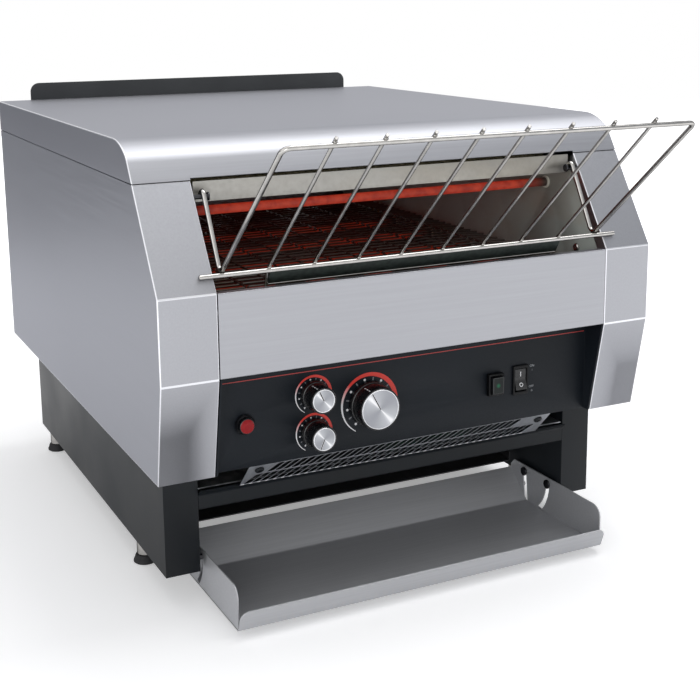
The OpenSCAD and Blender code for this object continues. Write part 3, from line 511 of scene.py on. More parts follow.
@dataclass(frozen=True)
class Finish:
    """A finish that is made into one material and shared by the pieces that wear it.

    Its tones run over one pattern. Its roughness follows its gloss pattern, or else the
    tones, and its relief follows its relief pattern, or else the roughness.
    """

    name: str
    tones: tuple[str, ...]
    rough: float = 0.4
    metallic: float = 0.0
    tone: Pattern | None = None
    gloss: Pattern | None = None
    relief: Pattern | None = None
    places: tuple[float, ...] = (0.35, 0.65)
    swing: Point = (0.05, 0.07)
    depth: float = 0.0
    tilt: float = 0.5
    sheen: float = 0.5
    edge: str = "#ffffff"

    def shade(self, tree: Tree) -> Socket:
        """Gives the value that the tones run over."""
        return self.tone.lay(tree)

    def weave(self, tree: Tree, shader: Node) -> None:
        """Adds the tones, the change of gloss and the relief to a fresh material.

        Args:
            tree: Node tree of the material.
            shader: The shader that they feed.
        """
        shade = self.shade(tree)
        gloss = self.gloss.lay(tree) if self.gloss else shade
        feeds = {
            "Base Color": add_node(
                tree, "ValToRGB", {"color_ramp": [*zip(self.places, self.tones)]},
                {"Fac": shade},
            ),
            "Roughness": add_node(
                tree, "MapRange",
                {"From Min": 0.3, "From Max": 0.7, "To Min": self.rough - self.swing[0],
                 "To Max": self.rough + self.swing[1]},
                {"Value": gloss},
            ),
        }
        if self.depth:
            feeds["Normal"] = add_node(
                tree, "Bump", {"Strength": self.tilt, "Distance": self.depth * MM},
                {"Height": self.relief.lay(tree) if self.relief else gloss},
            )
        for name, node in feeds.items():
            tree.links.new(node.outputs[0], shader.inputs[name])
        shader.inputs["Metallic"].default_value = self.metallic
        shader.inputs["Specular IOR Level"].default_value = self.sheen
        shader.inputs["Specular Tint"].default_value = linear(self.edge)

    def material(self) -> bpy.types.Material:
        """Makes the material, unless it was made before.

        Returns:
            The material.
        """
        found = bpy.data.materials.get(self.name)
        if found:
            return found
        made = bpy.data.materials.new(self.name)
        made.use_nodes = True
        self.weave(made.node_tree, made.node_tree.nodes["Principled BSDF"])
        return made


@dataclass(frozen=True)
class BrushedStainless(Finish):
    """304 stainless sheet with a fine belt-brushed grain.

    It reads as a cool, satin grey whose highlights smear across the grain. The real
    grain is about 0.1 mm.
    """

    tones: tuple[str, ...] = ("#a1a2a7", "#a8a9ae")
    rough: float = 0.42
    metallic: float = 1.0
    tone: Pattern = Pattern(333.3, 1.0)
    gloss: Pattern = Grain.ACROSS.value
    places: tuple[float, ...] = (0.3, 0.7)
    swing: Point = (0.02, 0.03)
    depth: float = 0.01
    tilt: float = 0.08
    edge: str = "#bebfc5"
    streaky: float = 0.75

    def shade(self, tree: Tree) -> Socket:
        """Lays the brushed streaks over a slow cloudiness.

        Args:
            tree: Material's node tree.

        Returns:
            Socket of the shade, from 0 to 1.
        """
        cloud = add_node(
            tree, "Math", {"operation": "MULTIPLY", 1: 1 - self.streaky},
            {0: self.tone.lay(tree)},
        ).outputs[0]
        return add_node(
            tree, "Math", {"operation": "MULTIPLY_ADD", 1: self.streaky},
            {0: self.gloss.lay(tree), 2: cloud},
        ).outputs[0]


@dataclass(frozen=True)
class HeatTintedSteel(Finish):
    """Aluminised steel that heat has browned: slow bands over a fine rolled texture."""

    tones: tuple[str, ...] = ("#5b5c59", "#696863", "#665a4f", "#4f5354")
    rough: float = 0.5
    metallic: float = 0.45
    tone: Pattern = Pattern((111.1, 111.1, 71.43), 4.0)
    gloss: Pattern = Pattern((3.333, 25.0, 3.333))
    places: tuple[float, ...] = (0.2, 0.45, 0.62, 0.8)
    swing: Point = (0.08, 0.1)
    depth: float = 0.02
    tilt: float = 0.4


@dataclass(frozen=True)
class PowderCoat(Finish):
    """Black polyester powder coat on steel: a soft sheen on an orange peel of 2 mm cells."""

    tones: tuple[str, ...] = ("#0d1115", "#12171c")
    rough: float = 0.45
    tone: Pattern = Pattern(83.33, 3.0)
    relief: Pattern = Pattern(2.083, 1.0)
    swing: Point = (0.04, 0.06)
    depth: float = 0.03
    tilt: float = 0.3
    sheen: float = 0.26


@dataclass(frozen=True)
class PrintedOverlay(Finish):
    """Velvet-textured polyester film, a flat blue-black; the texture is drawn at 0.8 mm."""

    tones: tuple[str, ...] = ("#0c1117", "#10161d")
    rough: float = 0.52
    tone: Pattern = Pattern(125.0)
    gloss: Pattern = Pattern(0.8, 1.0)
    swing: Point = (0.08, 0.08)
    depth: float = 0.02
    tilt: float = 0.25
    sheen: float = 0.22


@dataclass(frozen=True)
class BrightSteel(Finish):
    """Nickel-plated steel wire and pins, smooth and mirror-like with faint drawing marks."""

    tones: tuple[str, ...] = ("#aeaca9", "#bcbab7")
    rough: float = 0.16
    metallic: float = 1.0
    tone: Pattern = Pattern(8.333)
    swing: Point = (0.02, 0.03)
    # The dark edge tint darkens the reflection towards each wire's outline: a painted dark
    # reflection along its edges.
    edge: str = "#5c5c5e"


@dataclass(frozen=True)
class SpunAluminium(Finish):
    """Spun and anodised aluminium disc, with two pale rays across its middle painted into its
    colour: a painted highlight in place of the light that round scratches gather.
    """

    # The palest tones are the painted highlight of the two rays.
    tones: tuple[str, ...] = ("#97999f", "#a5a7ac", "#b3b5ba", "#c6c8cc", "#eeeef0")
    rough: float = 0.35
    metallic: float = 0.7
    gloss: Pattern = Pattern(1.111)
    places: tuple[float, ...] = (0.0, 0.45, 0.9, 0.975, 1.0)
    swing: Point = (0.03, 0.03)
    mid: Point = (0.0, 0.0)
    painted_ray_angle: float = -48.0

    def shade(self, tree: Tree) -> Socket:
        """Paints the pale highlight rays that cross the disc's middle.

        Args:
            tree: Material's node tree.

        Returns:
            Socket of the shade, from 0 to 1.
        """
        place = add_node(
            tree, "Mapping", {"Location": (-self.mid[0] * MM, 0.0, -self.mid[1] * MM)},
            {"Vector": add_node(tree, "TexCoord").outputs["Object"]},
        ).outputs["Vector"]
        split = add_node(tree, "SeparateXYZ", links={"Vector": place}).outputs
        turn = add_node(
            tree, "Math", {"operation": "ARCTAN2"}, {0: split["Z"], 1: split["X"]}
        ).outputs[0]
        twice = add_node(
            tree, "Math",
            {"operation": "MULTIPLY_ADD", 1: 2.0, 2: -2 * math.radians(self.painted_ray_angle)}, {0: turn},
        ).outputs[0]
        wave = add_node(tree, "Math", {"operation": "COSINE"}, {0: twice}).outputs[0]
        return add_node(
            tree, "MapRange", {"From Min": -1.0, "From Max": 1.0}, {"Value": wave}
        ).outputs["Result"]


@dataclass(frozen=True)
class ZincPlate(Finish):
    """Zinc-plated steel: a pale bluish chromate with a faint crystal pattern of about 6 mm."""

    tones: tuple[str, ...] = ("#9fa4a9", "#b9bdc1")
    metallic: float = 1.0
    places: tuple[float, ...] = (0.1, 0.9)
    swing: Point = (0.06, 0.06)
    crystal: float = 6.25

    def shade(self, tree: Tree) -> Socket:
        """Gives each crystal a tone of its own.

        Args:
            tree: Material's node tree.

        Returns:
            Socket of the shade, from 0 to 1.
        """
        cells = add_node(
            tree, "TexVoronoi", {"Scale": 1 / (self.crystal * MM)},
            {"Vector": add_node(tree, "TexCoord").outputs["Object"]},
        ).outputs["Color"]
        return add_node(tree, "RGBToBW", links={"Color": cells}).outputs["Val"]


@dataclass(frozen=True)
class GlowingSheath(Finish):
    """Oxidised nickel-alloy sheath of a heater, red-hot between its dull cold ends."""

    tones: tuple[str, ...] = ("#3d302c", "#57463e")
    rough: float = 0.7
    tone: Pattern = Pattern(7.143, 3.0)
    swing: Point = (0.1, 0.1)
    hot_tones: tuple[str, str] = ("#b3281a", "#e2401f")
    strength: float = 0.45
    half: float = 184.0
    fade: float = 35.0

    def weave(self, tree: Tree, shader: Node) -> None:
        """Adds the glow, which fades over the last centimetres beside each wall.

        Args:
            tree: Material's node tree.
            shader: The material's shader.
        """
        super().weave(tree, shader)
        place = add_node(tree, "TexCoord").outputs["Object"]
        split = add_node(tree, "SeparateXYZ", links={"Vector": place}).outputs
        away = add_node(
            tree, "Math", {"operation": "ABSOLUTE"}, {0: split["X"]}
        ).outputs[0]
        hot = add_node(
            tree, "MapRange",
            {"From Min": (self.half - self.fade) * MM, "From Max": self.half * MM,
             "To Min": self.strength, "To Max": 0.0},
            {"Value": away},
        ).outputs["Result"]
        colour = add_node(
            tree, "ValToRGB", {"color_ramp": [*zip((0.3, 0.7), self.hot_tones)]},
            {"Fac": self.tone.lay(tree)},
        ).outputs["Color"]
        tree.links.new(colour, shader.inputs["Emission Color"])
        tree.links.new(hot, shader.inputs["Emission Strength"])


@dataclass(frozen=True)
class MottledMatter(Finish):
    """A plain matter told apart by its two tones, gloss, and the size and depth of its grain."""

    grit: float = 1.0
    depth: float = 0.02

    def shade(self, tree: Tree) -> Socket:
        """Lays the grain."""
        return Pattern(self.grit, 3.0).lay(tree)


@dataclass(frozen=True)
class BoardLaminate(Finish):
    """Glass-epoxy board: green solder mask over its tracks, and dark moulded parts above."""

    tones: tuple[str, ...] = ("#18191b", "#232427")
    rough: float = 0.36
    tone: Pattern = Pattern(2.0)
    swing: Point = (0.06, 0.06)
    track: float = 3.333
    mask_top: float = 113.9

    def weave(self, tree: Tree, shader: Node) -> None:
        """Adds tracks on the board's face, and dark moulded parts above it.

        Args:
            tree: Material's node tree.
            shader: The material's shader.
        """
        super().weave(tree, shader)
        place = add_node(tree, "TexCoord").outputs["Object"]
        tracks = add_node(
            tree, "TexBrick",
            {"Scale": 1 / (self.track * MM), "Mortar Size": 0.06, "Color1": linear("#17623c"),
             "Color2": linear("#1b6e45"), "Mortar": linear("#2f8a58")},
            {"Vector": place},
        ).outputs["Color"]
        split = add_node(tree, "SeparateXYZ", links={"Vector": place}).outputs
        above = add_node(
            tree, "Math", {"operation": "GREATER_THAN", 1: self.mask_top * MM},
            {0: split["Z"]},
        ).outputs[0]
        colour = shader.inputs["Base Color"]
        parts = colour.links[0].from_socket
        both = add_node(
            tree, "Mix", {"data_type": "RGBA"}, {0: above, 6: tracks, 7: parts}
        ).outputs[2]
        tree.links.new(both, colour)


@dataclass(frozen=True)
class LampLens(Finish):
    """Clear red polycarbonate lens: a saturated red, faintly ribbed, that lets light through."""

    tones: tuple[str, ...] = ("#840912", "#900c15")
    rough: float = 0.25
    tone: Pattern = Pattern(4.545, 1.0)
    places: tuple[float, ...] = (0.3, 0.7)
    swing: Point = (0.05, 0.05)
    sheen: float = 0.22

    def weave(self, tree: Tree, shader: Node) -> None:
        """Adds a little light let through.

        Args:
            tree: Material's node tree.
            shader: The material's shader.
        """
        super().weave(tree, shader)
        shader.inputs["Emission Color"].default_value = linear("#a00a14")
        shader.inputs["Emission Strength"].default_value = 0.15


@dataclass(frozen=True)
class SmokedButton(Finish):
    """Smoked polycarbonate button with a small green lamp behind its middle."""

    tones: tuple[str, ...] = ("#0e1414", "#131b1a")
    rough: float = 0.35
    tone: Pattern = Pattern(1.667)
    swing: Point = (0.05, 0.05)
    sheen: float = 0.25
    mid: Point = (85.0, 169.0)
    spot_r: float = 2.5

    def weave(self, tree: Tree, shader: Node) -> None:
        """Adds the lamp's soft spot.

        Args:
            tree: Material's node tree.
            shader: The material's shader.
        """
        super().weave(tree, shader)
        near = 1 / self.spot_r
        place = add_node(
            tree, "Mapping",
            {"Scale": (near / MM, 0.0, near / MM),
             "Location": (-self.mid[0] * near, 0.0, -self.mid[1] * near)},
            {"Vector": add_node(tree, "TexCoord").outputs["Object"]},
        ).outputs["Vector"]
        spot = add_node(
            tree, "TexGradient", {"gradient_type": "SPHERICAL"}, {"Vector": place}
        ).outputs["Fac"]
        colour = add_node(
            tree, "ValToRGB", {"color_ramp": ((0.0, "#000000"), (1.0, "#0e8a5c"))},
            {"Fac": spot},
        ).outputs["Color"]
        tree.links.new(colour, shader.inputs["Emission Color"])
        shader.inputs["Emission Strength"].default_value = 0.45


@dataclass(frozen=True)
class ScreenInk(Finish):
    """Screen-printed ink, slightly uneven, whose tone can change along a printed line."""

    rough: float = 0.475
    gloss: Pattern = Pattern(1.111)
    places: tuple[float, ...] = (0.25, 0.42)
    swing: Point = (0.075, 0.075)

    def shade(self, tree: Tree) -> Socket:
        """Reads how far along its line a place of the print is."""
        return add_node(tree, "Attribute", {"attribute_name": "along"}).outputs["Fac"]


class Finishes:
    """The finishes of this toaster, by what wears them."""

    shell = BrushedStainless("stainless_brushed_across")
    side = BrushedStainless("stainless_brushed_deep", gloss=Grain.DEEP.value, edge="#cbccd1")
    # Bright lines along the folds: a painted highlight, in a paler and glossier copy of the brushed
    # steel, where the folds catch the light.
    fold = BrushedStainless(
        "stainless_folds_painted_highlight", ("#dcdde2", "#e6e7eb"), 0.3, edge="#ffffff"
    )
    tray = BrushedStainless("stainless_brushed_tray", ("#b9babd", "#c3c4c7"), 0.5, 0.5)
    # The slide's steel is darkened: painted shade where the base's front shadows it.
    slide = BrushedStainless(
        "stainless_slide_painted_shade", ("#4b4b4d", "#58585a"), 0.55, gloss=Grain.DEEP.value
    )
    chamber = HeatTintedSteel("aluminised_steel_heat_tinted")
    walls = HeatTintedSteel(
        "aluminised_steel_walls", ("#a7b2ad", "#b3bbb5", "#aeab9f", "#98a39f"), 0.5, 0.1
    )
    reflector = HeatTintedSteel(
        "aluminised_steel_pale", ("#969591", "#a09e99", "#9b978f", "#8f8f8e"), 0.42, 0.85
    )
    mesh = HeatTintedSteel(
        "nickel_wire_heat_darkened", ("#4a4744", "#5c5753", "#54493f", "#3e3e40"), 0.45, 0.85
    )
    base = PowderCoat("powder_coat_black")
    deflector = PowderCoat("heat_paint_charcoal", ("#36383a", "#404244"), 0.55)
    panel = PrintedOverlay("polyester_overlay_black")
    wire = BrightSteel("nickel_plated_wire")
    pins = BrightSteel("steel_pins_dulled", ("#3d3d40", "#4c4c4f"), 0.35)
    cap_rim = BrightSteel(
        "aluminium_diamond_turned_rim", ("#c9cacd", "#d9dadd"), 0.25, edge="#b0b0b2"
    )
    zinc = ZincPlate("zinc_plated_steel")
    sheath = GlowingSheath("nickel_alloy_sheath_glowing")
    low_sheath = GlowingSheath("nickel_alloy_sheath_dim", strength=0.2)
    # Rolled steel strip, dark and half dull with a greenish cast.
    strip = MottledMatter("rack_strip_dark_steel", ("#262d2a", "#343c38"), 0.45, 0.5, grit=4.0)
    # Pressed steel with a silvery lacquer.
    grille = MottledMatter("grille_steel_silvered", ("#9b9ea4", "#a9acb1"), grit=3.0, metallic=0.5)
    # Sheared steel edges painted near white: a painted highlight for the glints they catch.
    bar_foot_glint = MottledMatter(
        "grille_bar_feet_painted_glint", ("#efeff1", "#f8f8fa"), 0.3, grit=2.0, depth=0.01
    )
    # Pressed and fired steatite, cream and matt.
    ceramic = MottledMatter("steatite_ceramic", ("#ddd7c8", "#e8e3d6"), grit=1.5)
    # Pressed bronze powder, whose pores dull it.
    bronze = MottledMatter("sintered_bronze", ("#8e6a3c", "#a9814c"), 0.5, 1.0, depth=0.03)
    # Bonded mineral fibres: straw-coloured, deep and wholly dull.
    wool = MottledMatter("mineral_wool", ("#b3a77f", "#d6cba6"), 0.9, grit=3.0, depth=0.8)
    # Moulded rubber, black with no shine.
    rubber = MottledMatter("moulded_rubber", ("#121214", "#1b1b1e"), 0.7, depth=0.05)
    # Moulded nylon, black with a plain sheen, and a duller kind in the switch frames.
    plastic = MottledMatter(
        "nylon_moulded_black", ("#0f1013", "#17181c"), 0.32, grit=1.5, depth=0.01
    )
    bezel = MottledMatter(
        "nylon_switch_frame_black", ("#07080a", "#0b0c0f"), grit=1.5, depth=0.01, sheen=0.2
    )
    # Pressed phenolic resin, black and glossy.
    gloss = MottledMatter(
        "phenolic_gloss_black", ("#0b0c0f", "#0f1013"), 0.28, grit=2.0, depth=0.005
    )
    board = BoardLaminate("circuit_board_green")
    lens = LampLens("polycarbonate_red_lens")
    saver = SmokedButton("polycarbonate_smoked_button")
    white = ScreenInk("ink_white", ("#e6e6e8",) * 2)
    pale = ScreenInk("ink_pale_grey", ("#a3a6aa",) * 2)
    grey = ScreenInk("ink_grey", ("#77787c",) * 2)
    red = ScreenInk("ink_red", ("#b23a36",) * 2)
    heat = ScreenInk("ink_white_to_red", ("#ececee", "#df3a2e"))


# ---------------------------------------------------------------- pieces


@dataclass
class Piece:
    """A piece in the making: what it is called, wears, stands for and rides on.

    The wall is the sheet's thickness and soften the width of the eased edges, both in
    millimetres; rim counts from the sheet's finish to that of its cut edges.
    """

    name: str
    slot: Slot
    finishes: tuple[Finish, ...]
    nodes: tuple[str, ...] = ()
    body: Body = Body.TOASTER
    wall: float = 0.0
    soften: float = 0.0
    rim: int = 0

    def cast(self, bm: BMesh) -> None:
        """Turns finished mesh work into a dressed object that rides on the frame.

        Args:
            bm: The mesh work, which is freed.
        """
        mesh = bpy.data.meshes.new(self.name)
        bm.to_mesh(mesh)
        bm.free()
        mesh.shade_smooth()
        for finish in self.finishes:
            mesh.materials.append(finish.material())
        made = bpy.data.objects.new(self.name, mesh)
        bpy.context.scene.collection.objects.link(made)
        if self.wall:
            wall = made.modifiers.new("wall", "SOLIDIFY")
            wall.thickness, wall.offset, wall.use_even_offset = self.wall * MM, -1.0, True
            wall.material_offset_rim = self.rim
        if self.wall or not self.soften:
            mesh.set_sharp_from_angle(angle=SHARP)
        if self.soften:
            edge = made.modifiers.new("edges", "BEVEL")
            edge.width, edge.segments, edge.limit_method = self.soften * MM, 2, "ANGLE"
            edge.angle_limit, edge.harden_normals = SHARP, True
        if self.wall:
            made.modifiers.new("flat_faces", "WEIGHTED_NORMAL").keep_sharp = True
        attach(made, self.body.value)
        if self.nodes:
            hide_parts(*self.nodes)
        LOG.info("%s rides on %s, %d faces", self.name, self.body.value, len(mesh.polygons))


def eased_copy(
    node: str, slot: Slot, finish: Finish, soften: float = 0.25, body: Body = Body.TOASTER
) -> None:
    """Makes a copy of a node's mesh with its loose triangles joined and its edges eased.

    Args:
        node: Name of the node, which the copy stands for.
        slot: Material slot that it belongs to; it is not used.
        finish: What it wears.
        soften: Width of the eased edges, in millimetres.
        body: Body that it rides on.
    """
    bm = bmesh.new()
    bm.from_mesh(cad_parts[node].data)
    bmesh.ops.remove_doubles(bm, verts=bm.verts, dist=2e-6)
    bmesh.ops.dissolve_limit(
        bm, angle_limit=math.radians(1), use_dissolve_boundaries=False, verts=bm.verts,
        edges=bm.edges, delimit={"NORMAL"},
    )
    Piece(f"{node}_eased", slot, (finish,), (node,), body, soften=soften).cast(bm)


def dress_node(node: str, finish: Finish) -> None:
    """Gives a node that keeps its own mesh its finish.

    Args:
        node: Name of the node.
        finish: What it wears.
    """
    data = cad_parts[node].data
    data.materials.clear()
    data.materials.append(finish.material())


def join_faces(bm: BMesh, number: int, start: int) -> None:
    """Gives every face from a place in the list on a material number.

    Args:
        bm: Mesh to change.
        number: Place of the finish in the piece's list.
        start: Place of the first face.
    """
    bm.faces.ensure_lookup_table()
    for face in bm.faces[start:]:
        face.material_index = number


def face_outwards(bm: BMesh) -> None:
    """Turns every face of a finished shape outwards."""
    bmesh.ops.recalc_face_normals(bm, faces=bm.faces)


def creases(bm: BMesh, least: float) -> list[BMEdge]:
    """Finds the edges where two faces meet at an angle.

    Args:
        bm: Mesh to search.
        least: Least angle, in degrees.

    Returns:
        The edges.
    """
    return [
        e for e in bm.edges
        if len(e.link_faces) == 2 and e.calc_face_angle() > math.radians(least)
    ]


# ---------------------------------------------------------------- the stainless body


@dataclass
class StainlessBody:
    """Top cover, side panels, front panel and the sheets behind them."""

    half_w: float = 236.5
    depth: float = 566.0
    height: float = 403.0
    sheet: float = 1.2
    seam: float = 1.0
    trim_w: float = 49.0
    trim_return: float = 12.0
    hood: Point = (54.0, 370.0)
    feed_low: float = 288.0
    face_low: float = 218.0
    skirt: Point = (17.6, 131.0)
    nose_r: float = 26.0
    crown_r: float = 58.0
    crown_rise: float = 32.0
    notch: float = 1.5
    panel_back: float = 25.0
    side_gap: float = 0.6
    base_front: float = 61.0
    leg_out: float = 219.3
    fold: float = 0.9
    gap: float = 0.3

    @property
    def inner_x(self) -> float:
        """Distance of each trim's inner edge from the middle."""
        return self.half_w - self.trim_w

    @property
    def trim_line(self) -> list[Point]:
        """Front outline of the trims, top to bottom."""
        return [self.hood, (0.0, self.feed_low), (0.0, self.face_low), self.skirt]

    def cover_line(self) -> list[Point]:
        """Draws the cover's outline from its front edge over the nose to the back.

        Returns:
            The outline, as y and z.
        """
        edge = Vector((self.hood[0], self.hood[1] + self.seam))
        rise = math.atan2(self.hood[1] - self.feed_low, self.hood[0])
        turn = math.radians(self.crown_rise)
        roll = self.nose_r * (math.cos(turn) - math.cos(rise)) + self.crown_r * (1 - math.cos(turn))
        length = (self.height - edge.y - roll) / math.sin(rise)
        start = edge + length * Vector((math.cos(rise), math.sin(rise)))
        mid = start + self.nose_r * Vector((math.sin(rise), -math.cos(rise)))
        end = mid + self.nose_r * Vector((-math.sin(turn), math.cos(turn)))
        crown = end + self.crown_r * Vector((math.sin(turn), -math.cos(turn)))
        return [
            tuple(edge),
            *arc(tuple(mid), self.nose_r, 90 + math.degrees(rise), 90 + self.crown_rise, 8),
            *arc(tuple(crown), self.crown_r, 90 + 0.9 * self.crown_rise, 90, 9),
            (self.depth, self.height),
            (self.depth, self.hood[1] + self.seam),
        ]

    def cut_notch(self, bm: BMesh) -> None:
        """Cuts back the cover's front edge over the opening, between the two trims.

        Args:
            bm: The cover's mesh.
        """
        low = at(0, 0, self.hood[1] + self.seam).z
        edge = [
            f for f in bm.faces
            if f.normal.y < -0.5 and any(abs(v.co.z - low) < TOUCHING for v in f.verts)
        ]
        reach, top = self.inner_x * MM, low + self.notch * MM
        for place, way in ((-reach * RIGHT, RIGHT), (reach * RIGHT, RIGHT), (top * UP, UP)):
            parts = {v for f in edge for v in f.verts} | {e for f in edge for e in f.edges}
            out = bmesh.ops.bisect_plane(bm, geom=[*edge, *parts], plane_co=place, plane_no=way)
            edge = [
                g for g in out["geom"]
                if isinstance(g, bmesh.types.BMFace) and abs(g.calc_center_median().x) < reach
            ]
        drop = [f for f in edge if f.calc_center_median().z < top]
        bmesh.ops.delete(bm, geom=drop, context="FACES")

    def build_cover(self) -> None:
        """Builds the cover as one box-formed shell with rolled outer edges."""
        bm = bmesh.new()
        width = RIGHT * (2 * self.half_w * MM)
        slab(bm, [at(-self.half_w, y, z) for y, z in self.cover_line()], width)
        low = at(0, 0, self.hood[1] + self.seam).z
        under = [f for f in bm.faces if all(abs(v.co.z - low) < TOUCHING for v in f.verts)]
        bmesh.ops.delete(bm, geom=under, context="FACES_ONLY")
        self.cut_notch(bm)
        # The rounded edges wear the fold finish, whose pale tone is a painted highlight.
        soften_edges(bm, creases(bm, 60), self.fold, finish=1)
        Piece(
            "top_cover_shell", Slot.STAINLESS, (Finishes.shell, Finishes.fold),
            ("top_cover",), wall=self.sheet,
        ).cast(bm)

    def build_side(self, hand: int) -> None:
        """Builds one side panel with its wrapped trim.

        Args:
            hand: 1 for the right, -1 for the left.
        """
        bm = bmesh.new()
        back = self.depth - self.sheet - self.gap
        outline = [*self.trim_line, (back, self.skirt[1]), (back, self.hood[1])]
        plate = bm.faces.new([bm.verts.new(at(hand * self.half_w, y, z)) for y, z in outline])
        corners = list(plate.verts)
        front, low = (
            [e for e in plate.edges if set(e.verts) <= set(part)]
            for part in (corners[:4], corners[3:5])
        )
        inner = verts_of(bmesh.ops.extrude_edge_only(bm, edges=front)["geom"])
        bmesh.ops.translate(bm, verts=inner, vec=-hand * self.trim_w * MM * RIGHT)
        lip = [e for e in bm.edges if set(e.verts) <= set(inner)]
        bends = list(zip(self.trim_line, moved_left(self.trim_line, self.trim_return)))
        for v in verts_of(bmesh.ops.extrude_edge_only(bm, edges=lip)["geom"]):
            bend = min(bends, key=lambda pair: (at(0, *pair[0]).yz - v.co.yz).length)
            v.co.yz = at(0, *bend[1]).yz
        turned_in = verts_of(bmesh.ops.extrude_edge_only(bm, edges=low)["geom"])
        reach = self.half_w - self.leg_out - self.gap
        bmesh.ops.translate(bm, verts=turned_in, vec=-hand * reach * MM * RIGHT)
        face_outwards(bm)
        # The rounded folds wear the fold finish, whose pale tone is a painted highlight.
        soften_edges(bm, creases(bm, 5), self.fold, finish=1)
        side = "right" if hand > 0 else "left"
        Piece(
            f"{side}_side_shell", Slot.STAINLESS, (Finishes.side, Finishes.fold),
            (f"{side}_side_panel",), wall=self.sheet,
        ).cast(bm)
        bm = bmesh.new()
        xs = sorted(hand * (self.half_w - self.sheet * k) for k in (1.0, 2.0))
        box(bm, at(xs[0], self.hood[0] + 22, self.hood[1] - 8), at(xs[1], back, self.hood[1] + 12))
        corner = sorted(hand * x for x in (self.inner_x, self.half_w - self.sheet))
        box(bm, at(corner[0], self.skirt[0] + self.sheet, self.skirt[1]),
            at(corner[1], self.base_front - self.gap, self.skirt[1] + self.sheet))
        Piece(
            f"{side}_side_flanges", Slot.STAINLESS, (Finishes.side,), soften=0.2
        ).cast(bm)

    def build_front_panel(self) -> None:
        """Builds the plain panel below the feed opening, folded back along both edges."""
        bm = bmesh.new()
        path = [
            (7.0, self.feed_low), (0.0, self.feed_low), (0.0, self.face_low),
            (self.panel_back - self.gap, self.face_low),
        ]
        folded(bm, path, self.inner_x - self.side_gap, self.fold)
        face_outwards(bm)
        Piece(
            "front_panel_folded", Slot.STAINLESS, (Finishes.shell,),
            ("front_panel",), wall=self.sheet, soften=0.2,
        ).cast(bm)

    def build(self) -> None:
        """Builds the whole body."""
        self.build_cover()
        for hand in (-1, 1):
            self.build_side(hand)
        self.build_front_panel()
        eased_copy("rear_panel", Slot.STAINLESS, Finishes.shell)
        eased_copy("rear_deflector", Slot.HEAT_TINTED, Finishes.deflector, 0.35)


# ---------------------------------------------------------------- the black base


@dataclass
class BlackBase:
    """Leg boxes, crossbar, rear panel, bottom pan, feet and the cord gland."""

    half_in: float = 188.3
    base_front: float = 61.0
    base_rear: float = 520.0
    bar_low: float = 86.0
    grille_low: float = 104.0
    foot_h: float = 30.0
    pad_h: float = 8.0
    pad_d: float = 22.0
    stem_d: float = 15.0
    stud_d: float = 8.0
    foot_x: float = 205.8
    foot_ys: Point = (167.0, 508.0)
    gland: Point = (130.0, 62.0)

    def build_crossbar(self) -> None:
        """Builds the folded bar under the grille."""
        bm = bmesh.new()
        path = [
            (self.base_front - 5.4, self.grille_low - 0.3),
            (self.base_front, self.grille_low - 4.5), (self.base_front, self.bar_low),
            (self.base_front + 24, self.bar_low),
        ]
        folded(bm, path, self.half_in - 0.3, 1.4)
        face_outwards(bm)
        Piece(
            "crossbar_folded", Slot.BASE, (Finishes.base,), ("front_crossbar",),
            wall=1.5, soften=0.25,
        ).cast(bm)

    def build_feet(self) -> None:
        """Builds the turned stems with their studs, and the flared rubber pads."""
        stems, pads = bmesh.new(), bmesh.new()
        r, stud, p = self.stem_d / 2, self.stud_d / 2, self.pad_d / 2
        pitch, deep, turns = 0.6, 0.35, 20
        threads = [
            (stud - deep * (k % 2), self.foot_h + 0.5 + pitch * k) for k in range(turns)
        ]
        stem = [
            (0, self.pad_h - 1), (r - 0.6, self.pad_h - 1), (r, self.pad_h + 0.4),
            (r, self.foot_h - 1.2), (r - 0.8, self.foot_h), (stud, self.foot_h), *threads,
            (stud - 1, self.foot_h + 13), (0, self.foot_h + 13),
        ]
        pad = [
            (0, 0), (p - 1.2, 0), (p, 0.9), (p, 2.4), (p - 1.0, 4.2), (p - 1.6, 6.4),
            (p - 2.2, self.pad_h - 0.4), (p - 2.8, self.pad_h), (r - 0.8, self.pad_h),
            (r - 0.8, self.pad_h - 1.5), (0, self.pad_h - 1.5),
        ]
        for x in (-self.foot_x, self.foot_x):
            for y in self.foot_ys:
                turned(stems, stem, at(x, y, 0), UP, 32)
                turned(pads, pad, at(x, y, 0), UP, 32)
        Piece("foot_stems_turned", Slot.WIRE, (Finishes.wire,), ("foot_stems",)).cast(stems)
        Piece("foot_pads_moulded", Slot.RUBBER, (Finishes.rubber,), ("foot_pads",)).cast(pads)

    def build_gland(self) -> None:
        """Builds the cord gland with its flange, hexagon nut and ribbed boss."""
        bm = bmesh.new()
        x, z = self.gland
        turned(bm, [
            (5, -9.5), (11, -9.5), (11, 0), (15, 0), (15, 3.2), (13.4, 5), (11, 5), (11, 6.4),
            (10.2, 6.8), (11, 7.4), (11, 9), (10.2, 9.5), (11, 10), (10.4, 12), (6, 12),
            (5, 11), (5, -9.5),
        ], at(x, self.base_rear, z), BACK)
        nut = bmesh.ops.create_cone(
            bm, cap_ends=True, segments=6, radius1=15 * MM, radius2=15 * MM, depth=4.5 * MM,
            matrix=Matrix.Translation(at(x, self.base_rear - 4.0, z)) @ UPRIGHT,
        )
        soften_edges(bm, {e for v in nut["verts"] for e in v.link_edges}, 0.4, 2)
        Piece(
            "cord_gland_moulded", Slot.PLASTIC, (Finishes.plastic,), ("cord_gland",)
        ).cast(bm)

    def build(self) -> None:
        """Builds the whole base."""
        for node in ("left_leg", "right_leg"):
            eased_copy(node, Slot.BASE, Finishes.base, 0.5)
        for node in ("base_rear_panel", "base_bottom_pan"):
            eased_copy(node, Slot.BASE, Finishes.base)
        self.build_crossbar()
        self.build_feet()
        self.build_gland()


# ---------------------------------------------------------------- grille


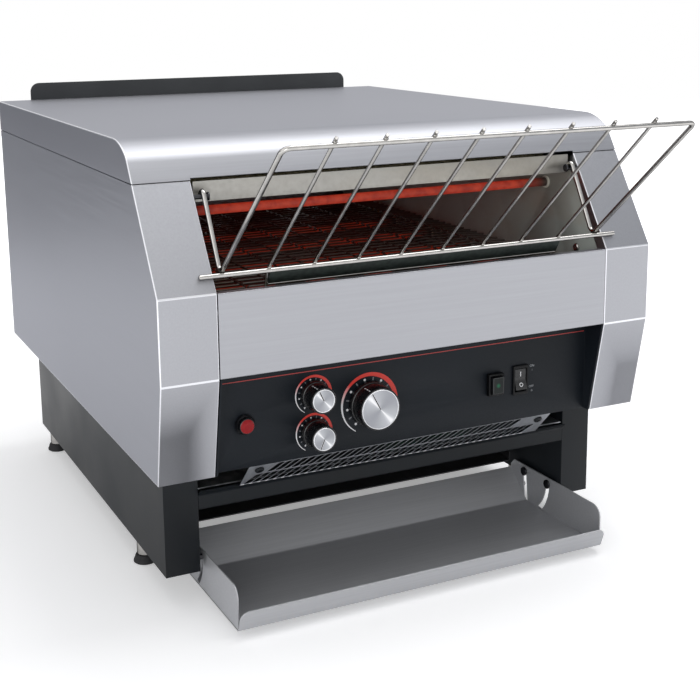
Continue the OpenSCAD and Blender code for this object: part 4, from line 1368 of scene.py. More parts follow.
@dataclass
class InletGrille:
    """Pressed air-inlet grille with two rows of leaning slots."""

    width: float = 305.0
    pitch: float = 7.5
    thick: float = 0.6
    low_share: float = 0.85
    high_share: float = 0.8
    foot: Point = (55.0, 104.0)
    head: Point = (29.0, 130.7)
    screw_hole: float = 4.4
    low_edge: float = 1.6
    low_inset: float = 3.0
    high_inset: float = 20.0
    lean: float = 0.55

    @property
    def length(self) -> float:
        """Length of the slope."""
        return (Vector(self.head) - Vector(self.foot)).length

    def screw_places(self) -> list[Point]:
        """Places of the two screws on the slope, left and right."""
        return [(side * (self.width / 2 - 11), 0.72 * self.length) for side in (-1, 1)]

    def place(self, u: float, v: float, lift: float = 0.0) -> Vector:
        """Places a point of the flat grille.

        Args:
            u: Distance from its middle, in millimetres.
            v: Distance up its slope.
            lift: Distance above its face.

        Returns:
            The place in the shared frame.
        """
        way = Vector(self.head) - Vector(self.foot)
        up = way.normalized()
        out = Vector((-up.y, up.x))
        p = Vector(self.foot) + up * v + out * lift
        return at(u, p.x, p.y)

    def slot(self, u: float, v0: float, v1: float, w: float, ease: float) -> list[Vector]:
        """Outlines one leaning slot with eased corners.

        Args:
            u: Place of its lower left corner.
            v0: Height of its lower end on the slope.
            v1: Height of its upper end.
            w: Width of the slot.
            ease: Length that is cut from each corner.

        Returns:
            The corners in order.
        """
        lean = self.lean * (v1 - v0)
        k = ease / (v1 - v0)
        return [
            self.place(a, b) for a, b in (
                (u + ease, v0), (u + w - ease, v0), (u + w + lean * k, v0 + ease),
                (u + w + lean * (1 - k), v1 - ease), (u + w + lean - ease, v1),
                (u + lean + ease, v1), (u + lean * (1 - k), v1 - ease), (u + lean * k, v0 + ease),
            )
        ]

    def build(self) -> None:
        """Builds the pierced sheet and the small burrs along its lower edge, painted near white as
        a painted highlight.
        """
        length, half = self.length, self.width / 2
        low_n, high_n = (int((self.width - spare) // self.pitch) for spare in (14, 52))
        holes = [
            self.slot(-half + inset + i * self.pitch, v0, v1, share * self.pitch, ease)
            for count, inset, v0, v1, share, ease in (
                (low_n, self.low_inset, self.low_edge, 0.44 * length, self.low_share, 0.5),
                (high_n, self.high_inset, 0.5 * length, length - 4.5, self.high_share, 1.2),
            )
            for i in range(count)
        ]
        for u, v in self.screw_places():
            ring = arc((u, v), self.screw_hole / 2, 0, 337.5, 15)
            holes.append([self.place(*p) for p in ring])
        bm = bmesh.new()
        pierced(bm, [
            self.place(u, v) for u, v in ((-half, 0), (half, 0), (half, length), (-half, length))
        ], holes)
        look_towards(bm, -BACK - UP)
        # The cut edges of the sheet and its slots wear the black powder coat: painted shade inside
        # the slots.
        Piece(
            "inlet_grille_pierced", Slot.BASE, (Finishes.grille, Finishes.base),
            ("inlet_grille",), wall=self.thick, rim=1,
        ).cast(bm)
        # Small slabs along the lower edge, painted near white: a painted highlight for the glints
        # of the sheared edge.
        bm = bmesh.new()
        lift = self.place(0, 0, 0.25) - self.place(0, 0)
        for i in range(low_n + 1):
            u = -half + self.low_inset + (i - (1 - self.low_share) / 2) * self.pitch
            slab(bm, [
                self.place(u + a, b) for a, b in (
                    (-1.7, 0.3), (1.3, 0.3), (1.7, 0.8), (1.3, 1.3), (-1.3, 1.3), (-1.7, 0.8))
            ], lift)
        Piece("inlet_grille_bar_feet_glints", Slot.BASE, (Finishes.bar_foot_glint,)).cast(bm)


# ---------------------------------------------------------------- controls


@dataclass
class Dial:
    """One printed dial with its knob and spun cap."""

    name: str
    body: Body
    x: float
    z: float
    knob_d: float
    ring_r: float
    aim: float
    panel_back: float = 25.0
    stand_out: float = 21.0
    cap_t: float = 1.2
    ink: float = 0.06
    arc_ends: Point = (-150.0, 100.0)
    arc_widths: Point = (0.025, 0.125)
    marks: int = 13
    mark_start: float = -141.6
    mark_step: float = 21.6

    def polar(self, radius: float, turn: float, y: float) -> Vector:
        """Places a point round the dial.

        Args:
            radius: Distance from the dial's middle, in millimetres.
            turn: Angle clockwise from straight up, in degrees.
            y: Distance behind the front face.

        Returns:
            The place in the shared frame.
        """
        t = math.radians(turn)
        return at(self.x + radius * math.sin(t), y, self.z + radius * math.cos(t))

    def build_knob(self) -> None:
        """Builds the glossy knob with its skirt, cap recess and white pointer marks."""
        bm = bmesh.new()
        r, deep = self.knob_d / 2, self.stand_out
        turned(bm, [
            (0, 0.6), (r + 1.25, 0.6), (r + 1.1, 4.2), (r + 0.75, 5.4), (r + 0.1, 5.8), (r, 6.4),
            (r, deep - 1.0), (r - 0.3, deep - 0.25), (r - 0.9, deep), (r - 1.3, deep - 0.3),
            (r - 1.3, deep - self.cap_t), (0, deep - self.cap_t),
        ], at(self.x, self.panel_back, self.z), -BACK, 64)
        plain = len(bm.faces)
        for k in range(3):
            y0 = self.panel_back - 8.2 - 4.0 * k
            corners = [
                self.polar(r + 0.04, self.aim + s * 58 / self.knob_d, y)
                for y, s in ((y0, -1), (y0, 1), (y0 - 2.6, 1), (y0 - 2.6, -1))
            ]
            inward = at(self.x, 0, self.z) - corners[0]
            inward.y = 0.0
            slab(bm, corners, inward.normalized() * 0.3 * MM)
        join_faces(bm, 1, plain)
        Piece(
            f"{self.name}_knob_moulded", Slot.PLASTIC, (Finishes.gloss, Finishes.white),
            (f"{self.name}_knob",), self.body,
        ).cast(bm)

    def build_cap(self) -> None:
        """Builds the spun disc with its bright rim and inlaid pointer."""
        bm = bmesh.new()
        r, deep = self.knob_d / 2 - 1.3, self.stand_out
        base = at(self.x, self.panel_back, self.z)
        turned(bm, [(r - 1.1, deep), (0, deep)], base, -BACK, 64)
        plain = len(bm.faces)
        turned(bm, [
            (0, deep - self.cap_t), (r, deep - self.cap_t), (r, deep - 0.2), (r - 0.35, deep + 0.2),
            (r - 0.9, deep + 0.2), (r - 1.1, deep),
        ], base, -BACK, 64)
        join_faces(bm, 3, plain)
        bmesh.ops.remove_doubles(bm, verts=bm.verts, dist=1e-7)
        face_outwards(bm)
        top = self.panel_back - deep
        for number, half, y in ((1, 0.75, top - 0.03), (2, 0.42, top - 0.06)):
            plain = len(bm.faces)
            hub, tip = self.polar(0.0, self.aim, y), self.polar(r - 0.6, self.aim, y)
            side = (tip - hub).normalized().cross(BACK) * half * MM
            slab(bm, [hub - side, hub + side, tip + side, tip - side], BACK * 0.3 * MM)
            join_faces(bm, number, plain)
        # The cap's spun finish paints two highlight rays into its colour.
        spun = SpunAluminium(f"aluminium_spun_painted_rays_{self.name}_cap", mid=(self.x, self.z))
        Piece(
            f"{self.name}_cap_spun", Slot.KNOB,
            (spun, Finishes.white, Finishes.gloss, Finishes.cap_rim), (f"{self.name}_cap",),
            self.body,
        ).cast(bm)

    def build_scale(self) -> None:
        """Prints the swelling arc and the row of dots inside it."""
        bm = bmesh.new()
        along = bm.verts.layers.float.new("along")
        (first, last), (thin, swell), steps = self.arc_ends, self.arc_widths, 72
        edges = []
        for share in (k / steps for k in range(steps + 1)):
            width = thin + swell * min(1.0, share * 1.3)
            pair = [
                bm.verts.new(self.polar(
                    self.ring_r * f, first + (last - first) * share, self.panel_back - self.ink
                ))
                for f in (1.0, 1.0 - width)
            ]
            for v in pair:
                v[along] = share
            edges.append(bm.edges.new(pair))
        for a, b in zip(edges, edges[1:]):
            bmesh.ops.bridge_loops(bm, edges=[a, b])
        self.settle(bm)
        Piece(f"{self.name}_arc_print", Slot.PANEL, (Finishes.heat,)).cast(bm)
        for first, finish, label in ((0, Finishes.white, "dots"), (1, Finishes.grey, "bars")):
            bm = bmesh.new()
            for k in range(first, self.marks, 2):
                self.mark(bm, self.mark_start + self.mark_step * k, label == "dots")
            self.settle(bm)
            Piece(f"{self.name}_{label}_print", Slot.PANEL, (finish,)).cast(bm)

    def mark(self, bm: BMesh, turn: float, bright: bool) -> None:
        """Draws one mark of the scale.

        Args:
            bm: Mesh to draw in.
            turn: Its angle clockwise from straight up, in degrees.
            bright: Whether it is a round dot and not a short bar.
        """
        mid = self.polar(0.79 * self.ring_r, turn, self.panel_back - self.ink)
        if bright:
            bmesh.ops.create_circle(
                bm, cap_ends=True, radius=0.042 * self.ring_r * MM, segments=12,
                matrix=Matrix.Translation(mid) @ UPRIGHT,
            )
        else:
            out = (mid - at(self.x, self.panel_back - self.ink, self.z)).normalized()
            long, wide = (k * self.ring_r * MM for k in (0.05, 0.022))
            side = out.cross(BACK) * wide
            bm.faces.new([bm.verts.new(mid + a * out * long + b * side) for a, b in (
                (-1, -1), (-1, 1), (1, 1), (1, -1))])

    def settle(self, bm: BMesh) -> None:
        """Gives flat ink its thickness down to the panel.

        Args:
            bm: Mesh of the ink.
        """
        out = bmesh.ops.extrude_face_region(bm, geom=list(bm.faces), use_keep_orig=True)
        bmesh.ops.translate(bm, verts=verts_of(out["geom"]), vec=BACK * self.ink * MM)
        face_outwards(bm)

    def build(self) -> None:
        """Builds the dial."""
        self.build_knob()
        self.build_cap()
        self.build_scale()


@dataclass
class ControlPanel:
    """The black panel with its print, lamp, button, rocker and three dials."""

    half: float = 186.9
    panel_back: float = 25.0
    row_z: float = 169.0
    lamp_x: float = -158.0
    lens_d: float = 14.0
    saver_x: float = 85.0
    saver_size: Point = (11.6, 15.6)
    saver_proud: float = 8.3
    switch_x: float = 113.0
    rocker_size: Point = (12.0, 21.0)
    rocker_tilt: float = 8.0
    pinstripe_z: float = 206.0
    ink: float = 0.06

    def dials(self) -> list[Dial]:
        """Lists the dials with the places their pointers are set to.

        Returns:
            The three dials.
        """
        return [
            Dial("top_heat", Body.TOP_HEAT, -95.0, 185.5, 23.0, 17.2, -25.0),
            Dial("bottom_heat", Body.BOTTOM_HEAT, -95.0, 152.0, 23.0, 17.2, -157.0),
            Dial("speed", Body.SPEED, -42.0, 170.0, 38.0, 27.5, -28.0),
        ]

    def build_stripe(self) -> None:
        """Prints the thin red line below the panel's upper edge."""
        bm = bmesh.new()
        y, z, reach = self.panel_back, self.pinstripe_z, self.half - 3
        box(bm, at(-reach, y - self.ink, z), at(reach, y, z + 0.7))
        Piece("pinstripe_print", Slot.PANEL, (Finishes.red,)).cast(bm)

    def build_words(self) -> None:
        """Prints ON and OFF with their signs beside the rocker."""
        for name, text, size, x, z in (
            ("on_word", "ON", 3.1, 13.2, 10.4), ("on_sign", "I", 2.4, 13.4, 6.6),
            ("off_word", "OFF", 3.1, 12.8, -9.2), ("off_sign", "O", 2.4, 13.4, -13.2),
        ):
            curve = bpy.data.curves.new(name, "FONT")
            curve.body, curve.size, curve.align_x = text, size * MM, "CENTER"
            curve.extrude, curve.resolution_u = self.ink * MM / 2, 3
            word = bpy.data.objects.new(name, curve)
            bpy.context.scene.collection.objects.link(word)
            mesh = bpy.data.meshes.new_from_object(word)
            bpy.data.objects.remove(word)
            place = at(self.switch_x + x, self.panel_back - self.ink / 2, self.row_z + z)
            bm = bmesh.new()
            bm.from_mesh(mesh)
            bpy.data.meshes.remove(mesh)
            bmesh.ops.remove_doubles(bm, verts=bm.verts, dist=1e-7)
            bmesh.ops.transform(bm, matrix=Matrix.Translation(place) @ UPRIGHT, verts=bm.verts)
            Piece(f"{name}_print", Slot.PANEL, (Finishes.pale,)).cast(bm)

    def build_lamp(self) -> None:
        """Builds the lamp's bezel and the red lens in its black collar."""
        bm = bmesh.new()
        r = self.lens_d / 2
        base = at(self.lamp_x, self.panel_back, self.row_z)
        turned(bm, [
            (0, -24), (r - 1.2, -24), (r - 1.2, 0), (r + 1.75, 0), (r + 1.75, 1.0), (r + 1.2, 2.4),
            (r + 0.6, 3.0), (r + 0.1, 2.8), (r, 1.6), (0, 1.6),
        ], base, -BACK, 48)
        Piece(
            "indicator_bezel", Slot.PLASTIC, (Finishes.plastic,), ("indicator_lamp",)
        ).cast(bm)
        bm = bmesh.new()
        collar = [(0, 1.6), (r - 0.1, 1.6), (r - 0.1, 5.4), (r - 0.5, 6.1), (r - 1.0, 6.3)]
        turned(bm, collar, base, -BACK, 48)
        plain = len(bm.faces)
        dome = [(r - 1.0, 6.3), (r - 1.3, 6.5), (r - 2.4, 6.9), (r - 4.2, 7.15), (0, 7.2)]
        turned(bm, dome, base, -BACK, 48)
        join_faces(bm, 1, plain)
        bmesh.ops.remove_doubles(bm, verts=bm.verts, dist=1e-7)
        face_outwards(bm)
        Piece(
            "indicator_lens_moulded", Slot.LENS, (Finishes.gloss, Finishes.lens),
            ("indicator_lens",),
        ).cast(bm)

    def build_saver(self) -> None:
        """Builds the power-save button with its dished smoked face."""
        bm = bmesh.new()
        w, h = self.saver_size[0] / 2, self.saver_size[1] / 2
        front = self.panel_back - self.saver_proud
        verts = box(bm, at(self.saver_x - w, front, self.row_z - h),
                    at(self.saver_x + w, self.panel_back + 10.5, self.row_z + h))
        face = min({f for v in verts for f in v.link_faces}, key=lambda f: f.calc_center_median().y)
        bmesh.ops.inset_individual(bm, faces=[face], thickness=1.2 * MM, depth=-0.4 * MM)
        face.material_index = 1
        Piece(
            "saver_button_moulded", Slot.PLASTIC, (Finishes.plastic, Finishes.saver),
            ("saver_button",), Body.SAVER, soften=0.5,
        ).cast(bm)
        eased_copy("saver_switch", Slot.PLASTIC, Finishes.bezel, 0.6)

    def build_rocker(self) -> None:
        """Builds the rocker with two curved halves and its bar and ring signs."""
        half, h = self.rocker_size[0] / 2, self.rocker_size[1] / 2 - 0.6
        dip = h * math.tan(math.radians(self.rocker_tilt))
        crown = [(-3 - dip * (2 * abs(t) - t * t), t * h) for t in (k / 4 for k in range(-4, 5))]
        outline = [*crown, (3, h - 2.5), (3, -h + 2.5)]
        tilt = Matrix.Rotation(math.radians(-self.rocker_tilt), 4, "X")
        seat = Matrix.Translation(at(self.switch_x, self.panel_back + 2, self.row_z)) @ tilt
        bm = bmesh.new()
        slab(bm, [Vector((-half, y, z)) * MM for y, z in outline], RIGHT * (2 * half * MM))
        bmesh.ops.transform(bm, matrix=seat, verts=bm.verts)
        Piece(
            "rocker_moulded", Slot.PLASTIC, (Finishes.gloss,), ("rocker",), Body.ROCKER, soften=0.5
        ).cast(bm)
        signs = bmesh.new()
        rise = math.atan2(dip, h)
        face = -3 - dip * 0.75 - 0.05
        for z, ring in ((0.5 * h, False), (-0.5 * h, True)):
            lean = Matrix.Rotation(math.copysign(rise * 0.97, z), 4, "X")
            place = seat @ Matrix.Translation(Vector((0, face, z)) * MM) @ lean
            start = len(signs.verts)
            if ring:
                inner, outer, thick = 1.25, 1.95, 0.1
                turned(signs, [
                    (inner, -thick), (outer, -thick), (outer, thick), (inner, thick),
                    (inner, -thick),
                ], Vector(), -BACK, 32)
            else:
                bar = Vector((0.4, 0.1, 2.2)) * MM
                box(signs, -bar, bar)
            signs.verts.ensure_lookup_table()
            bmesh.ops.transform(signs, matrix=place, verts=signs.verts[start:])
        Piece(
            "rocker_signs_print", Slot.PLASTIC, (Finishes.white,), body=Body.ROCKER
        ).cast(signs)
        eased_copy("rocker_switch", Slot.PLASTIC, Finishes.bezel, 0.8)

    def build(self) -> None:
        """Builds the panel and all that it carries."""
        eased_copy("control_panel", Slot.PANEL, Finishes.panel, 0.3)
        self.build_stripe()
        self.build_words()
        self.build_lamp()
        self.build_saver()
        self.build_rocker()
        for dial in self.dials():
            dial.build()


# ---------------------------------------------------------------- feed rack


@dataclass
class FeedRack:
    """Bent wire rack that feeds the belt, hung on two studs."""

    reach: float = 118.0
    top_z: float = 412.5
    rod_z: float = 301.0
    rod_half: float = 200.0
    frame_r: float = 2.0
    wire_r: float = 1.5
    side_x: float = 180.0
    bays: int = 9
    feed: Point = (54.0, 82.0)
    feed_low: float = 288.0
    hook_share: float = 0.85
    hook_out: float = 2.2
    hook_r: float = 4.35
    hook_turn: float = 176.0
    toe_t: float = 1.0
    weld: float = 0.4

    def build(self) -> None:
        """Builds the frame wire with its hooks, the rods, the inner wires and their welds."""
        way = Vector(self.feed).normalized()
        rod = Vector((
            (self.rod_z - self.feed_low) * way.x / way.y - (self.frame_r + 0.3) / way.y, self.rod_z
        ))
        top = Vector((-self.reach, self.top_z))
        slope = (rod - top).normalized()
        up = Vector((-slope.y, slope.x))
        leg = rod + up * (2 * self.frame_r - self.weld)
        run = (leg - top).normalized()
        heel = leg + run * 5
        hook_z = self.hook_share * self.feed[1]
        hook = Vector((hook_z * way.x / way.y + self.hook_out, self.feed_low + hook_z))
        to_heel = heel - hook
        aim = math.atan2(to_heel.y, to_heel.x) - math.acos(self.hook_r / to_heel.length)
        start = aim - math.radians(self.hook_turn)
        bm = bmesh.new()
        tip = hook + self.hook_r * Vector((math.cos(start), math.sin(start)))
        off = Vector((0, -math.sin(start), math.cos(start)))
        wire = Wire(bm, at(-self.side_x, *tip), off, self.frame_r, 14)
        hub = at(-self.side_x, *hook)
        wire.turn(hub, RIGHT, math.radians(self.hook_turn), 16)
        touch = hook + self.hook_r * Vector((math.cos(aim), math.sin(aim)))
        wire.follow([
            at(-self.side_x, *heel), at(-self.side_x, *top), at(self.side_x, *top),
            at(self.side_x, *heel), at(self.side_x, *touch),
        ], 6 * MM)
        wire.turn(at(self.side_x, *hook), -RIGHT, math.radians(self.hook_turn), 16)
        wire.close()
        straight_wire(bm, at(-self.rod_half, *rod), at(self.rod_half, *rod), self.frame_r, 14)
        over = up * (self.frame_r + self.wire_r - self.weld)
        end, foot = top + over - run * 5, rod + over + run * 3
        tail_rod = Vector((13.0, self.feed_low + 0.5))
        tail = tail_rod + Vector((2 * self.wire_r - self.weld, -2))
        pitch, flat = 2 * self.side_x / self.bays, 0.75
        for i in range(1, self.bays):
            x = (i - self.bays / 2) * pitch
            outer = i in (1, self.bays - 1)
            first = at(x, *end)
            inner = Wire(bm, first, at(x, *foot) - first, flat * self.wire_r, 12)
            inner.run(0.5 * MM, 1 / flat)
            inner.follow([at(x, *p) for p in ((foot, tail) if outer else (foot,))], 5 * MM)
            inner.run(0.4 * MM, flat)
            inner.close()
            for joint in (top + up * self.frame_r, rod + up * self.frame_r):
                self.bead(bm, at(x, *joint), run)
        ends = (pitch - self.side_x, self.side_x - pitch)
        straight_wire(bm, at(ends[0], *tail_rod), at(ends[1], *tail_rod), self.wire_r)
        rise = (rod - tail_rod).normalized()
        back = Vector((-rise.y, rise.x)) * self.toe_t
        strip = [at(ends[0], *p) for p in (tail_rod, rod, rod + back, tail_rod + back)]
        plain = len(bm.faces)
        slab(bm, strip, RIGHT * ((ends[1] - ends[0]) * MM))
        join_faces(bm, 1, plain)
        Piece(
            "feed_rack_wires", Slot.WIRE, (Finishes.wire, Finishes.strip), ("feed_rack",), Body.RACK
        ).cast(bm)

    def bead(self, bm: BMesh, place: Vector, run: Vector) -> None:
        """Adds the flattened bead of a resistance weld between two crossing wires.

        Args:
            bm: Mesh to build in.
            place: Where the wires touch.
            run: Direction of the upper wire, as y and z.
        """
        turn = Matrix.Rotation(math.atan2(run.y, run.x), 4, "X")
        size = Matrix.Diagonal((2.2 * MM, 2.2 * MM, 1.0 * MM, 1))
        bmesh.ops.create_icosphere(
            bm, subdivisions=2, radius=1.0, matrix=Matrix.Translation(place) @ turn @ size
        )


# ---------------------------------------------------------------- heating chamber


@dataclass
class HeatingChamber:
    """Walls, reflectors, elements and the woven wire belt between them."""

    front_y: float = 60.0
    back_y: float = 450.0
    shaft_z: float = 254.0
    belt_r: float = 22.0
    belt_half: float = 168.0
    wire_r: float = 1.0
    pitch: float = 13.0
    spaces: int = 12
    hook_lift: float = 0.6
    hook_r: float = 1.6

    def on_loop(self, s: float, lift: float) -> Point:
        """Places a point of the flat belt on its loop.

        Args:
            s: Distance along the loop from above the front shaft.
            lift: Distance outside the belt's line.

        Returns:
            The point's y and z.
        """
        run, r = self.back_y - self.front_y, self.belt_r
        turn = math.pi * r
        s %= 2 * run + 2 * turn
        if s < run:
            return self.front_y + s, self.shaft_z + r + lift
        if s < run + turn:
            a = (s - run) / r
            return self.back_y + (r + lift) * math.sin(a), self.shaft_z + (r + lift) * math.cos(a)
        if s < 2 * run + turn:
            return self.back_y - (s - run - turn), self.shaft_z - r - lift
        a = (s - 2 * run - turn) / r
        return self.front_y - (r + lift) * math.sin(a), self.shaft_z - (r + lift) * math.cos(a)

    def build_belt(self) -> None:
        """Builds the belt from wires that each hook over the next."""
        loop_len = 2 * (self.back_y - self.front_y) + math.tau * self.belt_r
        count = round(loop_len / self.pitch)
        pitch, bay = loop_len / count, 2 * self.belt_half / self.spaces
        gap = 1.3 * self.wire_r
        reach = Vector((0, pitch + 0.5 * self.wire_r, self.hook_lift))
        flat = [-self.belt_half * RIGHT]
        for k in range(self.spaces - 1):
            x = (-self.belt_half + (k + 1) * bay) * RIGHT
            hook = [x, x + reach + gap * RIGHT], [x + reach - gap * RIGHT, x]
            flat += hook[k % 2]
        flat.append(self.belt_half * RIGHT)
        blank = bmesh.new()
        one = Wire(blank, flat[0] * MM, flat[1] - flat[0], self.wire_r, 6)
        one.follow([p * MM for p in flat[1:]], self.hook_r * MM, 1)
        one.close()
        mesh = bpy.data.meshes.new("belt_blank")
        blank.to_mesh(mesh)
        blank.free()
        bm = bmesh.new()
        for i in range(count):
            start = len(bm.verts)
            bm.from_mesh(mesh)
            bm.verts.ensure_lookup_table()
            for v in bm.verts[start:]:
                y, z = self.on_loop(i * pitch + v.co.y / MM, v.co.z / MM)
                v.co = at(v.co.x / MM, y, z)
        bpy.data.meshes.remove(mesh)
        Piece("conveyor_belt_woven", Slot.WIRE, (Finishes.mesh,), ("conveyor_belt",)).cast(bm)

    def build_wool(self) -> None:
        """Builds the mineral-wool blanket, crowned and uneven between its edges."""
        low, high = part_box("top_insulation")
        bm = bmesh.new()
        box(bm, low, high)
        bmesh.ops.subdivide_edges(bm, edges=bm.edges, cuts=15, use_grid_fill=True)
        rng = random.Random(7)
        mid, half = (low + high) / 2, (high - low) / 2
        for v in bm.verts:
            u, w = (v.co.x - mid.x) / half.x, (v.co.y - mid.y) / half.y
            edge = (1 - u**6) * (1 - w**6)
            if v.co.z > mid.z:
                v.co.z -= (1.5 + 5.0 * (1 - edge) + rng.random() * 2.0) * MM
        bmesh.ops.smooth_vert(
            bm, verts=bm.verts, factor=0.4, use_axis_x=True, use_axis_y=True, use_axis_z=True
        )
        Piece("insulation_blanket", Slot.WOOL, (Finishes.wool,), ("top_insulation",)).cast(bm)

    def build(self) -> None:
        """Builds the belt and blanket and dresses what surrounds them."""
        self.build_belt()
        self.build_wool()
        for node, slot, finish, soften in (
            ("left_chamber_wall", Slot.HEAT_TINTED, Finishes.walls, 0.2),
            ("right_chamber_wall", Slot.HEAT_TINTED, Finishes.walls, 0.2),
            ("chamber_floor", Slot.HEAT_TINTED, Finishes.chamber, 0.2),
            ("feed_plate", Slot.HEAT_TINTED, Finishes.chamber, 0.2),
            ("top_reflector", Slot.HEAT_TINTED, Finishes.reflector, 0.2),
            ("bottom_reflector", Slot.STAINLESS, Finishes.chamber, 0.2),
            ("hanger_studs", Slot.WIRE, Finishes.pins, 0.3),
            ("element_insulators", Slot.CERAMIC, Finishes.ceramic, 0.4),
            ("shaft_bushes", Slot.BRONZE, Finishes.bronze, 0.2),
        ):
            eased_copy(node, slot, finish, soften)
        dress_node("top_elements", Finishes.sheath)
        dress_node("bottom_elements", Finishes.low_sheath)


# ---------------------------------------------------------------- tray and slide


@dataclass
class ToastPath:
    """The slide inside the base and the tray that hangs below it."""

    half: float = 182.5
    sheet: float = 1.2
    low: float = 6.0
    wall: float = 38.0
    front: float = -12.0
    lip_h: float = 19.0
    lip_lean: float = 7.0
    pivot: Point = (114.0, 37.5)
    pin_step: float = 40.5
    slot_w: float = 5.6
    ramp_rise: float = 28.0
    corner: float = 11.0
    lip_corner: float = 8.0

    def build_tray(self) -> None:
        """Builds the tray's folded floor and its two slotted walls."""
        ramp = self.pivot[0] - 3
        rear, top = ramp + self.ramp_rise, self.low + self.wall
        bm = bmesh.new()
        path = [
            (self.front - self.lip_lean, self.low + self.lip_h), (self.front, self.low),
            (ramp, self.low), (rear, self.low + self.ramp_rise),
        ]
        folded(bm, path, self.half, 1.8)
        tips = [v for v in bm.verts if (v.co - at(v.co.x / MM, *path[0])).length < TOUCHING]
        bmesh.ops.bevel(
            bm, geom=tips, offset=self.lip_corner * MM, offset_type="OFFSET", segments=6,
            profile=0.5, affect="VERTICES", clamp_overlap=True, material=-1,
        )
        look_towards(bm, -UP)
        Piece(
            "tray_floor_folded", Slot.STAINLESS, (Finishes.tray,), ("discharge_tray",), Body.TRAY,
            self.sheet, 0.15,
        ).cast(bm)
        for hand in (-1, 1):
            self.build_wall(hand, ramp, rear, top)

    def build_wall(self, hand: int, ramp: float, rear: float, top: float) -> None:
        """Builds one side wall of the tray.

        Args:
            hand: 1 for the right, -1 for the left.
            ramp: Where the floor starts to rise.
            rear: Back end of the wall.
            top: Height of the wall's upper edge.
        """
        front, half_slot = self.front + 1, self.slot_w / 2
        mouth = self.pivot[0] - 3.6
        outer = [
            (front, self.low), (mouth - half_slot, self.low),
            *arc(self.pivot, half_slot, 180, 0, 8),
            (mouth + half_slot, self.low + max(0.0, mouth + half_slot - ramp)),
            (rear, self.low + self.ramp_rise), (rear, top - 6), (rear - 6, top),
            *arc((front + self.corner, top - self.corner), self.corner, 90, 180, 8),
        ]
        sweep = 62.0
        pin = (self.pivot[0] - self.pin_step, self.pivot[1])
        hole = [
            *arc(self.pivot, self.pin_step + half_slot, 180, 180 + sweep, 10),
            *arc(self.pivot, self.pin_step - half_slot, 180 + sweep, 180, 10),
            *arc(pin, half_slot, 0, 180, 6)[1:-1],
        ]
        x = hand * self.half
        bm = bmesh.new()
        inside = [p for p in hole if p[1] > self.low + 0.8]
        pierced(bm, [at(x, *p) for p in outer], [[at(x, *p) for p in inside]])
        look_towards(bm, hand * RIGHT)
        side = "right" if hand > 0 else "left"
        Piece(
            f"tray_{side}_wall", Slot.STAINLESS, (Finishes.tray,), (), Body.TRAY, self.sheet, 0.15
        ).cast(bm)

    def build(self) -> None:
        """Builds the tray and dresses the slide."""
        self.build_tray()
        # The slide wears the darkened steel, whose dark tone is painted shade.
        eased_copy("toast_slide", Slot.STAINLESS, Finishes.slide, 0.2)


# ---------------------------------------------------------------- screws, drive and electrics


